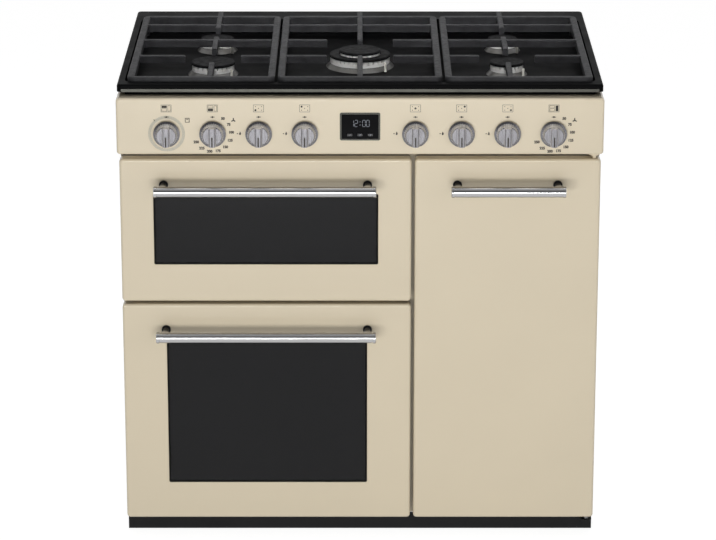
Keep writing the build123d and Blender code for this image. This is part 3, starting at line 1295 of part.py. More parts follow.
def write_doors():
    arms = [hinge_arm(door, x) for door in (UPPER_DOOR, LOWER_DOOR) for x in hinge_arm_places(door)]
    save("hinge_arms", *arms, pivot_bracket_below(), pivot_bracket_above())
    drop_doors = {
        "upper": (UPPER_DOOR, UPPER_WINDOW, UPPER_MOUTH),
        "lower": (LOWER_DOOR, LOWER_WINDOW, LOWER_MOUTH),
    }
    for name, (door, window, mouth) in drop_doors.items():
        save(f"{name}_door_skin", door_skin(door, window))
        save(f"{name}_door_glass", *door_panes(mouth, window))
        save(f"{name}_door_liner", window_door_liner(door, window))
        save(f"{name}_door_handle", *door_handle(door, WIDE_BAR_LENGTH, WIDE_POST_SPACING))
    save("tall_door_skin", door_skin(TALL_DOOR))
    save("tall_door_liner", plain_door_liner(TALL_DOOR, TALL_MOUTH))
    save("tall_door_handle", *door_handle(TALL_DOOR, NARROW_BAR_LENGTH, NARROW_POST_SPACING))


def write_controls():
    save("control_panel", control_panel())
    save("clock_module", clock_lens(), clock_housing())
    for place, field in zip(("left", "middle", "right"), button_fields()):
        save(f"clock_button_{place}", clock_button(field))
    for name, x in OVEN_KNOBS.items():
        save(f"oven_knob_{name}", oven_knob(x))
    for name, x in GAS_KNOBS.items():
        save(f"gas_knob_{name}", gas_knob(x))
        save(f"gas_spindle_{name}", gas_spindle(x))
    save("oven_switches", *[oven_switch(x) for x in OVEN_KNOBS.values()])
    save("gas_valves", *[gas_valve(x) for x in GAS_KNOBS.values()])
    save("gas_rail", gas_rail())


def write_hob():
    save("hob_top", hob_top())
    save("burner_cups", *burner_cups())
    save("burner_crowns", *burner_crowns())
    save("burner_caps", *burner_caps())
    save("spark_igniters", *spark_igniters())
    save("pan_stand_left", *side_pan_stand(-1))
    save("pan_stand_centre", *centre_pan_stand())
    save("pan_stand_right", *side_pan_stand(1))


os.makedirs("parts", exist_ok=True)
write_cabinet()
write_ovens()
write_doors()
write_controls()
write_hob()
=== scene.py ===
import json
import math

import bmesh
import bpy
from mathutils import Matrix, Vector


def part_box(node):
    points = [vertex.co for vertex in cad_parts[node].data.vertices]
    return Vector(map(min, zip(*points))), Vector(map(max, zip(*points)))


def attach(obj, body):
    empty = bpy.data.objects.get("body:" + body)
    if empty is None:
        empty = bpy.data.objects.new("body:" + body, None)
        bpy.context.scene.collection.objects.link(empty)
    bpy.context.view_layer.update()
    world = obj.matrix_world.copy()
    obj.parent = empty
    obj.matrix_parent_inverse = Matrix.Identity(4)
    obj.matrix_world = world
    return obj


# Looks of the range cooker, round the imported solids. Metres, in the solids' own frame.

# Photograph and camera
IMAGE_WIDTH = 716
CAMERA_DISTANCE = 6.3
CAMERA_PITCH = 17.48  # degrees below the horizontal
CAMERA_TARGET = (-0.0038, 0.0, 0.4536)
FOCAL_PIXELS = 3203.5
SENSOR_WIDTH = 36.0
CAMERA_FAR = 100.0

# Light
AMBIENT = 0.32
FRONT_REFLECTION = 0.12  # brightness of the room in front, seen by metal and glass
FRONT_DEPTH = -1.0  # Y of the direction in which the room is dimmest, straight to the front
WHITE_DEPTH = 0.1  # Y of a direction from which on the room is white
KEY_PLACE = (-0.3, -3.4, 0.62)
KEY_AIM = (0.0, -0.3, 0.58)
KEY_SIZE = (1.8, 0.5)
KEY_POWER = 45.0
FILL_PLACE = (2.2, -2.8, 1.2)
FILL_AIM = (0.0, -0.3, 0.5)
FILL_SIZE = (1.8, 1.8)
FILL_POWER = 9.0
TOP_PLACE = (0.0, 0.3, 3.2)
TOP_AIM = (0.0, 0.0, 0.8)
TOP_SIZE = (2.6, 1.6)
TOP_POWER = 14.0
HOB_PLACE = (0.0, -1.2, 1.9)
HOB_AIM = (0.0, 0.15, 0.9)
HOB_SIZE = (1.0, 0.12)
HOB_POWER = 1.0
HOB_BEAM = 26.0  # degrees that the hob's light spreads, so that the front stays in the key's light
FLOOR_SIZE = 40.0
FLOOR_GLOW = 0.9  # white that the floor shows of itself; its lit part and the shadow come on top
FLOOR_LIT = 0.35
FLOOR_BOUNCE = 0.8  # grey of the floor for the light that it throws back

# Textures
NOISE_LOW = 0.3  # most of a noise texture's values lie between these two
NOISE_HIGH = 0.7

# Prints on the control panel
PRINT_THICKNESS = 0.00008
PRINT_LIFT = 0.00004
PICTOGRAM_RISE = 0.048
PICTOGRAM_WIDTH = 0.0195
PICTOGRAM_HEIGHT = 0.014
PICTOGRAM_LINE = 0.0006
BURNER_SPOT = 0.0008
CHOSEN_SPOT = 0.0019
SPOT_ACROSS = 0.29  # from the pictogram's middle to a burner, as shares of its width and height
SPOT_ALONG = 0.24
# A gas knob's burner, in steps from the middle of the hob to the right and to the rear
GAS_KNOBS = {
    "front_left": (-1, -1),
    "rear_left": (-1, 1),
    "wok": (0, 0),
    "rear_right": (1, 1),
    "front_right": (1, -1),
}
# An oven in the pictogram: its middle across and along, its width and its height, as shares of the inside
OVEN_FIELDS = {
    "upper": (-0.2, 0.26, 0.56, 0.4),
    "main": (-0.2, -0.24, 0.56, 0.44),
    "tall": (0.32, 0.0, 0.3, 0.92),
}
ZERO_RISE = 0.0315
DIAL_NUMBER_RADIUS = 0.0345
DIAL_NUMBER_SIZE = 0.0066
DIAL_NUMBER_BOLDNESS = 0.0004
DIAL_FIRST_ANGLE = 34.0  # clockwise from the top
DIAL_STEP_ANGLE = 26.0
DIAL_NUMBERS = ["50", "75", "100", "125", "150", "175", "200", "225", "250"]
SYMBOL_ACROSS = 0.0385  # an oven knob's symbol, from the knob's axis
SYMBOL_RISE = 0.0255
SYMBOL_SIZE = 0.0085
SYMBOL_LINE = SYMBOL_SIZE / 7
RING_INNER = 0.0285
RING_OUTER = 0.034
RING_TURN = 359.9  # degrees; a hair short of closed, so that the band stays one simple outline
RING_STEPS = 96
TICK_ACROSS = -0.022  # the tick on the ring, at the height of the symbols
TICK_WIDTH = 0.0012
TICK_HEIGHT = 0.004
TICK_TURN = -40.0
FLAME_REACH = 0.0345
FLAME_OUTLINE = [(0.0, 0.0042), (0.0016, 0.0012), (0.0019, -0.0006), (0.0011, -0.0024),
                 (0.0, -0.0029), (-0.0011, -0.0024), (-0.0019, -0.0006), (-0.0011, 0.0012)]
FLAME_DOT_REACH = 0.0048  # from the large flame to the dot for a small one
FLAME_DOT_RADIUS = 0.0011
OFF_MARK_WIDTH = 0.0078
OFF_MARK_HEIGHT = 0.0013
OFF_DOT_RADIUS = 0.0018

# Clock
CLOCK_WIDTH = 0.074  # as in the solids
CLOCK_HEIGHT = 0.0525
CLOCK_CORNER = 0.003
BEZEL_WIDTH = 0.0038
BEZEL_PROUD = 0.0006
BEZEL_SINK = 0.0008  # the bezel's back edge lies this far behind the lens's front
DIGIT_HEIGHT = 0.0122
DIGIT_WIDTH = 0.0053
DIGIT_PITCH = 0.0072
DIGIT_STROKE = 0.0011
DIGIT_RISE = 0.0062  # digits above the middle of the lens
COLON_DOT = 0.7  # radius of the colon's dots, as a share of the stroke
COLON_SIDES = 12
CLOCK_READING = "12:00"
SEGMENTS = {"0": "abcdef", "1": "bc", "2": "abged"}
KEY_SIGN_WIDTH = 0.0034
KEY_SIGN_LINE = 0.0006
KEY_RING_INNER = 0.0012
KEY_RING_OUTER = 0.0017
KEY_RING_TURN = 350.0
KEY_RING_STEPS = 24
KEY_HAND_ACROSS = 0.0003
KEY_HAND_LENGTH = 0.0009
KEY_HAND_WIDTH = 0.0004

# Windows of the drop-down doors
UPPER_WINDOW_SIDE = 0.061  # the window's margins and corner are as in the solids
LOWER_WINDOW_SIDE = 0.0815
WINDOW_TOP = 0.0665
WINDOW_BOTTOM = 0.072
WINDOW_CORNER = 0.004
WINDOW_BEAD = 0.0011
BEAD_RESOLUTION = 3
BORDER_GAP = 0.0001  # from the window's edge to the black band on its glass
BORDER_WIDTH = 0.0046

# Rounded corners
CORNER_STEPS = 6
LEAST_ROUNDING = 0.2  # a frame's inner corners keep at least this share of its outer rounding

# Small hardware
PIVOT_PIN_REACH = 0.02  # the upper pivot's pin reaches this far into the tall door, or less
KNOB_SKIRT_SHARE = 0.93  # what lies further out than this share of a knob's radius is its skirt
KNOB_EDGE_FACING = -0.6  # a face whose normal turns further from the front than this faces sideways
# A dark line on each knob's grip, from its middle down: its width, length, drop and depth.
KNOB_LINE_WIDTH = 0.0028
KNOB_LINE_LENGTH = 0.74  # length, and drop of the middle below the axis, as shares of the knob's radius
KNOB_LINE_DROP = 0.32
KNOB_LINE_DEPTH = 0.0005
TRIM_HEIGHT = 0.0055
TRIM_PROUD = 0.0006
TRIM_END_GAP = 0.008  # from the strip's end to the hob's side
SCREW_RADIUS = 0.0042
SCREW_HEIGHT = 0.0024
SCREW_SHOULDER = 0.45  # shoulder, dome and socket floor, as shares of the head's height
SCREW_DOME = 0.85
SCREW_FLOOR = 0.35
SCREW_DOME_REACH = 0.8  # share of the head's radius
SCREW_SOCKET = 0.0019
SCREW_LIP_REACH = 1.15  # share of the socket's radius
SCREW_SIDES = 24
REAR_SCREW_INSET = 0.016
REAR_SCREW_COLUMNS = 5
REAR_SCREW_ROWS = (0.3, 0.7)  # screws on the upright edges, as shares of the panel's height
REAR_SHEET = 0.0015
REAR_SHEET_MARGIN = 0.00015  # what stands further off the rear sheet than this is the terminal cover

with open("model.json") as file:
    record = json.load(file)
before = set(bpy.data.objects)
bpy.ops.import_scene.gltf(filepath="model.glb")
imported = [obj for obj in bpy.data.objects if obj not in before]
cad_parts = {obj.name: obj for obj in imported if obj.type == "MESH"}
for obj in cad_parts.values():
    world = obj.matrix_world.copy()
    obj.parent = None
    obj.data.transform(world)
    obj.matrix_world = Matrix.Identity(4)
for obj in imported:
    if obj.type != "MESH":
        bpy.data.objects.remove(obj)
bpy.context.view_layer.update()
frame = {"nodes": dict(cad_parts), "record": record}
nodes = frame["nodes"]
scene = bpy.context.scene


def srgb(red, green, blue):
    """A colour as a screen shows it, 0 to 255, in the linear values that a shader takes."""
    linear = []
    for value in (red, green, blue):
        share = value / 255
        linear.append(share / 12.92 if share <= 0.04045 else ((share + 0.055) / 1.055) ** 2.4)
    return (*linear, 1.0)


def grey(value):
    return (value, value, value, 1.0)


def shaded(colour, factor):
    return (*[min(1.0, value * factor) for value in colour[:3]], 1.0)


# Material building blocks

def new_material(name, **settings):
    """A principled material; its fixed numbers and colours are set on the shader's own sockets."""
    material = bpy.data.materials.new(name)
    material.use_nodes = True
    shader = material.node_tree.nodes["Principled BSDF"]
    for socket, value in settings.items():
        shader.inputs[socket.replace("_", " ")].default_value = value
    return material, material.node_tree, shader


def noise(tree, scale, detail=3.0, stretch=(1.0, 1.0, 1.0)):
    """Noise in the object's own metres, stretched where a grain runs one way."""
    coordinates = tree.nodes.new("ShaderNodeTexCoord")
    mapping = tree.nodes.new("ShaderNodeMapping")
    mapping.inputs["Scale"].default_value = stretch
    texture = tree.nodes.new("ShaderNodeTexNoise")
    texture.inputs["Scale"].default_value = scale
    texture.inputs["Detail"].default_value = detail
    tree.links.new(coordinates.outputs["Object"], mapping.inputs["Vector"])
    tree.links.new(mapping.outputs["Vector"], texture.inputs["Vector"])
    return texture.outputs["Fac"]


def cells(tree, scale):
    coordinates = tree.nodes.new("ShaderNodeTexCoord")
    texture = tree.nodes.new("ShaderNodeTexVoronoi")
    texture.inputs["Scale"].default_value = scale
    tree.links.new(coordinates.outputs["Object"], texture.inputs["Vector"])
    return texture


def ramp(tree, factor, stops):
    """A colour ramp from (place, colour) stops."""
    node = tree.nodes.new("ShaderNodeValToRGB")
    elements = node.color_ramp.elements
    while len(elements) < len(stops):
        elements.new(0.5)
    for element, (place, colour) in zip(elements, stops):
        element.position = place
        element.color = colour
    tree.links.new(factor, node.inputs["Fac"])
    return node.outputs["Color"]


def spread(tree, factor, low, high):
    """A number that runs from low to high over most of a noise's values."""
    node = tree.nodes.new("ShaderNodeMapRange")
    node.inputs["From Min"].default_value = NOISE_LOW
    node.inputs["From Max"].default_value = NOISE_HIGH
    node.inputs["To Min"].default_value = low
    node.inputs["To Max"].default_value = high
    tree.links.new(factor, node.inputs["Value"])
    return node.outputs["Result"]


def bump(tree, shader, height, strength, distance):
    node = tree.nodes.new("ShaderNodeBump")
    node.inputs["Strength"].default_value = strength
    node.inputs["Distance"].default_value = distance
    tree.links.new(height, node.inputs["Height"])
    tree.links.new(node.outputs["Normal"], shader.inputs["Normal"])


def vary(tree, shader, factor, colour, change):
    """The base colour, a little darker and lighter over the surface."""
    stops = [(NOISE_LOW, shaded(colour, 1 - change)), (NOISE_HIGH, shaded(colour, 1 + change))]
    tree.links.new(ramp(tree, factor, stops), shader.inputs["Base Color"])


# Materials

def gloss_enamel(name, colour, change, rough):
    """Vitreous enamel: a deep gloss with a faint orange peel."""
    material, tree, shader = new_material(name, IOR=1.4, Coat_Weight=0.35, Coat_Roughness=0.08, Coat_IOR=1.4)
    vary(tree, shader, noise(tree, 5.0), colour, change)
    tree.links.new(spread(tree, noise(tree, 9.0), rough * 0.95, rough * 1.05), shader.inputs["Roughness"])
    bump(tree, shader, noise(tree, 420.0, 1.0), 0.03, 0.0002)
    return material


def hob_enamel(name):
    """Black hob enamel, with the fine flecks of a second firing."""
    material, tree, shader = new_material(name, IOR=1.08)
    flecks = cells(tree, 900.0).outputs["Distance"]
    stops = [(0.0, srgb(40, 40, 42)), (0.09, srgb(15, 15, 16)), (1.0, srgb(11, 11, 12))]
    tree.links.new(ramp(tree, flecks, stops), shader.inputs["Base Color"])
    tree.links.new(spread(tree, noise(tree, 18.0), 0.42, 0.54), shader.inputs["Roughness"])
    bump(tree, shader, noise(tree, 260.0, 2.0), 0.06, 0.0004)
    return material


def oven_enamel(name):
    """Speckled easy-clean enamel inside the ovens."""
    material, tree, shader = new_material(name, IOR=1.4)
    flecks = cells(tree, 520.0).outputs["Distance"]
    stops = [(0.0, srgb(150, 152, 158)), (0.14, srgb(58, 60, 66)), (1.0, srgb(46, 47, 52))]
    tree.links.new(ramp(tree, flecks, stops), shader.inputs["Base Color"])
    tree.links.new(spread(tree, noise(tree, 40.0), 0.3, 0.45), shader.inputs["Roughness"])
    bump(tree, shader, noise(tree, 400.0, 2.0), 0.1, 0.0003)
    return material


def satin_paint(name, colour):
    """Fine textured paint."""
    material, tree, shader = new_material(name, IOR=1.26)
    vary(tree, shader, noise(tree, 12.0), colour, 0.2)
    tree.links.new(spread(tree, noise(tree, 90.0), 0.42, 0.58), shader.inputs["Roughness"])
    bump(tree, shader, noise(tree, 900.0, 2.0), 0.2, 0.0002)
    return material


def brushed_metal(name, colour, along, rough):
    """Metal brushed along one axis: the grain shows in its gloss and its relief."""
    material, tree, shader = new_material(name, Metallic=1.0, Anisotropic=0.4)
    stretch = [1.0, 1.0, 1.0]
    stretch["XYZ".index(along)] = 0.012
    grain = noise(tree, 1500.0, 4.0, stretch)
    vary(tree, shader, grain, colour, 0.10)
    tree.links.new(spread(tree, grain, rough * 0.75, rough * 1.3), shader.inputs["Roughness"])
    bump(tree, shader, grain, 0.12, 0.0002)
    return material


def galvanised_sheet(name):
    """Zinc sheet with its crystal spangle."""
    material, tree, shader = new_material(name, Metallic=1.0)
    spangle = cells(tree, 130.0)
    tone = ramp(tree, spangle.outputs["Color"], [(0.0, srgb(150, 153, 157)), (1.0, srgb(182, 185, 189))])
    tree.links.new(tone, shader.inputs["Base Color"])
    tree.links.new(spread(tree, spangle.outputs["Color"], 0.36, 0.5), shader.inputs["Roughness"])
    bump(tree, shader, noise(tree, 300.0), 0.05, 0.0003)
    return material


def cast_iron(name, colour, index):
    """Matt enamelled castings with a sand-cast grain."""
    material, tree, shader = new_material(name, IOR=index)
    vary(tree, shader, noise(tree, 35.0), colour, 0.25)
    tree.links.new(spread(tree, noise(tree, 120.0), 0.45, 0.62), shader.inputs["Roughness"])
    bump(tree, shader, noise(tree, 700.0, 4.0), 0.35, 0.0004)
    return material


def cast_alloy(name, stained, clean, metallic):
    """Cast aluminium, a little heat-stained. The colours given to it are lighter or darker than the metal's
    own: a painted highlight on the crowns and a painted shade on the cups.
    """
    material, tree, shader = new_material(name, Metallic=metallic)
    stops = [(NOISE_LOW, stained), (NOISE_HIGH, clean)]
    tree.links.new(ramp(tree, noise(tree, 45.0), stops), shader.inputs["Base Color"])
    tree.links.new(spread(tree, noise(tree, 300.0), 0.28, 0.42), shader.inputs["Roughness"])
    bump(tree, shader, noise(tree, 1400.0), 0.2, 0.0002)
    return material


def bright_wire(name):
    """Chromed wire, dulled in patches by heat."""
    material, tree, shader = new_material(name, Metallic=1.0)
    patches = noise(tree, 25.0)
    vary(tree, shader, patches, srgb(200, 200, 203), 0.06)
    tree.links.new(spread(tree, patches, 0.1, 0.26), shader.inputs["Roughness"])
    return material


def plated_steel(name, colour, rough):
    material, tree, shader = new_material(name, Metallic=1.0)
    patches = noise(tree, 80.0)
    vary(tree, shader, patches, colour, 0.12)
    tree.links.new(spread(tree, patches, rough * 0.8, rough * 1.2), shader.inputs["Roughness"])
    bump(tree, shader, noise(tree, 900.0), 0.1, 0.0002)
    return material


def heated_steel(name):
    """The element's sheath, oxidised brown and blue."""
    material, tree, shader = new_material(name, Metallic=0.8)
    stops = [(0.3, srgb(58, 50, 46)), (0.55, srgb(74, 70, 70)), (0.75, srgb(62, 66, 78))]
    tree.links.new(ramp(tree, noise(tree, 22.0), stops), shader.inputs["Base Color"])
    tree.links.new(spread(tree, noise(tree, 200.0), 0.45, 0.65), shader.inputs["Roughness"])
    return material


def tinted_glass(name):
    """Toughened door glass with a dark tint."""
    material, tree, shader = new_material(name, IOR=1.24, Transmission_Weight=0.9)
    vary(tree, shader, noise(tree, 3.0), srgb(92, 92, 95), 0.04)
    tree.links.new(spread(tree, noise(tree, 8.0), 0.015, 0.04), shader.inputs["Roughness"])
    return material


def black_glass(name):
    material, tree, shader = new_material(name, IOR=1.15)
    vary(tree, shader, noise(tree, 40.0), srgb(14, 14, 16), 0.2)
    tree.links.new(spread(tree, noise(tree, 150.0), 0.05, 0.1), shader.inputs["Roughness"])
    return material


def lamp_glass(name):
    material, tree, shader = new_material(name, IOR=1.45, Transmission_Weight=0.85)
    vary(tree, shader, noise(tree, 90.0), srgb(235, 236, 232), 0.03)
    tree.links.new(spread(tree, noise(tree, 500.0), 0.1, 0.22), shader.inputs["Roughness"])
    bump(tree, shader, cells(tree, 240.0).outputs["Distance"], 0.4, 0.0006)
    return material


def mineral_wool(name):
    """Matted fibres."""
    material, tree, shader = new_material(name, IOR=1.2, Sheen_Weight=0.3)
    fibres = noise(tree, 160.0, 6.0, (1.0, 1.0, 0.25))
    stops = [(NOISE_LOW, srgb(150, 128, 78)), (NOISE_HIGH, srgb(214, 196, 140))]
    tree.links.new(ramp(tree, fibres, stops), shader.inputs["Base Color"])
    tree.links.new(spread(tree, fibres, 0.85, 0.98), shader.inputs["Roughness"])
    bump(tree, shader, fibres, 0.8, 0.002)
    return material


def woven_seal(name):
    """A dark knitted gasket."""
    material, tree, shader = new_material(name, IOR=1.3)
    weave = cells(tree, 620.0).outputs["Distance"]
    stops = [(0.0, srgb(70, 68, 66)), (0.6, srgb(30, 30, 31))]
    tree.links.new(ramp(tree, weave, stops), shader.inputs["Base Color"])
    tree.links.new(spread(tree, weave, 0.7, 0.9), shader.inputs["Roughness"])
    bump(tree, shader, weave, 0.7, 0.0008)
    return material


def moulded_plastic(name, colour, rough):
    """Moulded plastic with a fine spark-eroded grain."""
    material, tree, shader = new_material(name, IOR=1.45)
    vary(tree, shader, noise(tree, 25.0), colour, 0.12)
    tree.links.new(spread(tree, noise(tree, 70.0), rough * 0.85, rough * 1.15), shader.inputs["Roughness"])
    bump(tree, shader, noise(tree, 1800.0), 0.15, 0.0002)
    return material


def turned_brass(name):
    material, tree, shader = new_material(name, Metallic=1.0)
    vary(tree, shader, noise(tree, 60.0), srgb(190, 158, 98), 0.1)
    tree.links.new(spread(tree, noise(tree, 400.0), 0.25, 0.4), shader.inputs["Roughness"])
    return material


def glazed_ceramic(name):
    material, tree, shader = new_material(name, IOR=1.5)
    vary(tree, shader, noise(tree, 200.0), srgb(226, 224, 216), 0.05)
    tree.links.new(spread(tree, noise(tree, 300.0), 0.15, 0.3), shader.inputs["Roughness"])
    return material


def printed_ink(name, colour, index):
    """Screen-printed ink, a little uneven in its cover."""
    material, tree, shader = new_material(name, IOR=index)
    vary(tree, shader, noise(tree, 900.0), colour, 0.18)
    tree.links.new(spread(tree, noise(tree, 1200.0), 0.4, 0.6), shader.inputs["Roughness"])
    return material


def lit_segment(name):
    """A pale segment of the clock's display, faintly lit."""
    material, tree, shader = new_material(name, Emission_Strength=0.1, IOR=1.3)
    stops = [(NOISE_LOW, srgb(104, 108, 116)), (NOISE_HIGH, srgb(132, 136, 144))]
    tone = ramp(tree, noise(tree, 700.0), stops)
    tree.links.new(tone, shader.inputs["Base Color"])
    tree.links.new(tone, shader.inputs["Emission Color"])
    tree.links.new(spread(tree, noise(tree, 400.0), 0.3, 0.5), shader.inputs["Roughness"])
    return material


CREAM = srgb(226, 213, 187)
SLOT_MATERIALS = {
    "cream_enamel": gloss_enamel("cream_enamel", CREAM, 0.012, 0.26),
    "black_enamel": hob_enamel("black_enamel"),
    "oven_enamel": oven_enamel("oven_enamel"),
    "black_paint": satin_paint("black_paint", srgb(18, 18, 19)),
    "galvanised": galvanised_sheet("galvanised"),
    "bright_wire": bright_wire("bright_wire"),
    "hinge_steel": plated_steel("hinge_steel", srgb(150, 150, 150), 0.35),
    "element_steel": heated_steel("element_steel"),
    "satin_silver": brushed_metal("satin_silver", srgb(176, 176, 177), "X", 0.2),
    # Near white and barely metallic: a painted highlight on the burner crowns.
    "burner_alloy": cast_alloy("burner_alloy", srgb(232, 230, 226), srgb(248, 248, 247), 0.15),
    "cast_iron": cast_iron("cast_iron", srgb(52, 52, 54), 1.22),
    "brass": turned_brass("brass"),
    "window_glass": tinted_glass("window_glass"),
    "clock_glass": black_glass("clock_glass"),
    "lamp_glass": lamp_glass("lamp_glass"),
    "mineral_wool": mineral_wool("mineral_wool"),
    "seal": woven_seal("seal"),
    "ceramic": glazed_ceramic("ceramic"),
    "black_plastic": moulded_plastic("black_plastic", srgb(34, 34, 35), 0.5),
    "key_plastic": moulded_plastic("key_plastic", srgb(24, 24, 26), 0.28),
}
# Two copies of the knobs' one metal: a darker one for their faces is painted shade, and a lighter one for
# their sideways faces is painted highlight.
KNOB_SHADED_METAL = brushed_metal("knob_painted_shade_metal", srgb(116, 115, 118), "Z", 0.28)
KNOB_HIGHLIGHT_METAL = plated_steel("knob_painted_highlight_metal", srgb(222, 222, 225), 0.42)
# The burner cups take a darker copy of the burner alloy: painted shade.
CUP_SHADED_ALLOY = cast_alloy("cup_painted_shade_alloy", srgb(88, 86, 83), srgb(112, 112, 111), 1.0)
CAP_ENAMEL = cast_iron("cap_enamel", srgb(22, 22, 23), 1.1)
TRIM_METAL = plated_steel("trim_metal", srgb(70, 70, 66), 0.42)
POST_METAL = plated_steel("post_metal", srgb(40, 40, 41), 0.4)
DARK_INK = printed_ink("dark_ink", srgb(46, 41, 33), 1.4)
PALE_INK = printed_ink("pale_ink", srgb(196, 190, 172), 1.4)
BORDER_INK = printed_ink("border_ink", srgb(14, 13, 12), 1.15)
SEGMENT = lit_segment("clock_segment")


# Finishes of the solids

def knob_names():
    return sorted(name for name in nodes if "_knob_" in name)


def middle(node):
    """The middle of a node as seen from the front, (x, z); for a knob, its axis."""
    lowest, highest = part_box(node)
    return (lowest.x + highest.x) / 2, (lowest.z + highest.z) / 2


def dress_nodes():
    """Every solid takes its slot's material. Knobs take a darker copy of their metal, a painted shade,
    burner cups take a darker copy of the burner alloy, also painted shade, and burner caps take their own.
    """
    knobs = knob_names()
    for entry in frame["record"]["subparts"]:
        node = nodes[entry["node"]]
        material = SLOT_MATERIALS[entry["material_slot"]]
        if entry["node"] in knobs:
            material = KNOB_SHADED_METAL
        if entry["node"] == "burner_cups":
            material = CUP_SHADED_ALLOY
        if entry["node"] == "burner_caps":
            material = CAP_ENAMEL
        node.data.materials.clear()
        node.data.materials.append(material)


def paint_knob_highlights():
    """Painted highlight and shade: a knob's grip and rim take a lighter copy of its metal where they face
    sideways, and its face and skirt keep the darker copy.
    """
    for name in knob_names():
        knob = nodes[name].data
        knob.materials.append(KNOB_HIGHLIGHT_METAL)
        x, z = middle(name)
        lowest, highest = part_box(name)
        skirt = (highest.x - lowest.x) / 2 * KNOB_SKIRT_SHARE
        for face in knob.polygons:
            reach = math.hypot(face.center.x - x, face.center.z - z)
            if face.normal.y > KNOB_EDGE_FACING and reach < skirt:
                face.material_index = 1


def dress_posts(handle):
    """A handle's posts are darker than its bar: the faces that lie behind the bar take the second slot."""
    lowest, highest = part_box(handle)
    node = nodes[handle]
    node.data.materials.append(POST_METAL)
    bar_thickness = highest.z - lowest.z
    behind_bar = lowest.y + bar_thickness
    for face in node.data.polygons:
        if face.center.y > behind_bar:
            face.material_index = 1


def dress_pivots():
    """The tall door's lower pivot bracket is black like the plinth, its upper one cream like the frame."""
    arms = nodes["hinge_arms"]
    arms.data.materials.append(SLOT_MATERIALS["black_paint"])
    arms.data.materials.append(SLOT_MATERIALS["cream_enamel"])
    lowest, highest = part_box("tall_door_skin")
    for face in arms.data.polygons:
        if face.center.z < lowest.z:
            face.material_index = 1
        if face.center.z > highest.z - PIVOT_PIN_REACH:
            face.material_index = 2


def dress_terminal_cover():
    """The cover of the mains terminals is a black moulding on the zinc rear panel."""
    rear = nodes["rear_panel"]
    rear.data.materials.append(SLOT_MATERIALS["black_plastic"])
    sheet_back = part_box("rear_panel")[0].y + REAR_SHEET
    for face in rear.data.polygons:
        if face.center.y > sheet_back + REAR_SHEET_MARGIN:
            face.material_index = 1


# Pieces

def add_piece(name, mesh, material, body):
    """A new piece that rides on a body, with the material that it is given."""
    build = bpy.data.meshes.new(name)
    bmesh.ops.recalc_face_normals(mesh, faces=mesh.faces)
    mesh.to_mesh(build)
    mesh.free()
    piece = bpy.data.objects.new(name, build)
    scene.collection.objects.link(piece)
    build.materials.append(material)
    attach(piece, body)


def join_rings(mesh, ring, other):
    """Faces between two rings that have as many points."""
    for place in range(len(ring)):
        after = (place + 1) % len(ring)
        mesh.faces.new((ring[place], ring[after], other[after], other[place]))


def prism(mesh, outline, front, back):
    """A slab between two depths from a closed outline of (x, z) points."""
    near = [mesh.verts.new((x, front, z)) for x, z in outline]
    far = [mesh.verts.new((x, back, z)) for x, z in outline]
    mesh.faces.new(near)
    mesh.faces.new(list(reversed(far)))
    join_rings(mesh, far, near)


def bar_outline(x, z, width, height, degrees=0.0):
    """A rectangle turned clockwise, as seen from the front."""
    turn = math.radians(degrees)
    right = width / 2
    top = height / 2
    corners = [(-right, -top), (right, -top), (right, top), (-right, top)]
    return [(x + a * math.cos(turn) + b * math.sin(turn), z - a * math.sin(turn) + b * math.cos(turn))
            for a, b in corners]


def disc_outline(x, z, radius, sides=20):
    angles = [2 * math.pi * side / sides for side in range(sides)]
    return [(x + radius * math.cos(angle), z + radius * math.sin(angle)) for angle in angles]


def arc_outline(x, z, inner, outer, turn, steps):
    """A band of a ring that turns clockwise from the top."""
    angles = [math.radians(turn * step / steps) for step in range(steps + 1)]
    far = [(x + outer * math.sin(angle), z + outer * math.cos(angle)) for angle in angles]
    near = [(x + inner * math.sin(angle), z + inner * math.cos(angle)) for angle in reversed(angles)]
    return far + near


def rounded_rectangle(x0, x1, z0, z1, corner):
    """Points round a rectangle with rounded corners, from its right side upwards."""
    points = []
    for corner_x, corner_z, start in ((x1, z1, 0), (x0, z1, 90), (x0, z0, 180), (x1, z0, 270)):
        turn = math.radians(start + 45)
        middle_x = corner_x - math.copysign(corner, math.cos(turn))
        middle_z = corner_z - math.copysign(corner, math.sin(turn))
        for step in range(CORNER_STEPS + 1):
            angle = math.radians(start + 90 * step / CORNER_STEPS)
            points.append((middle_x + corner * math.cos(angle), middle_z + corner * math.sin(angle)))
    return points


def rounded_frame(mesh, x0, x1, z0, z1, corner, profile):
    """A frame whose cross-section is a closed profile of (inset from the rectangle, depth) points."""
    rings = []
    for inset, depth in profile:
        rounding = max(corner - inset, corner * LEAST_ROUNDING)
        outline = rounded_rectangle(x0 + inset, x1 - inset, z0 + inset, z1 - inset, rounding)
        rings.append([mesh.verts.new((x, depth, z)) for x, z in outline])
    for ring, following in zip(rings, rings[1:] + rings[:1]):
        join_rings(mesh, ring, following)


def box_outline(mesh, x, z, width, height, line, front, back):
    """A rectangle drawn as four lines."""
    for side in (-1, 1):
        prism(mesh, bar_outline(x, z + side * (height - line) / 2, width, line), front, back)
        prism(mesh, bar_outline(x + side * (width - line) / 2, z, line, height - 2 * line), front, back)


def print_depths(node):
    """Depths of the front and the back of a print on a node's foremost face."""
    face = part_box(node)[0].y
    return face - PRINT_LIFT - PRINT_THICKNESS, face - PRINT_LIFT


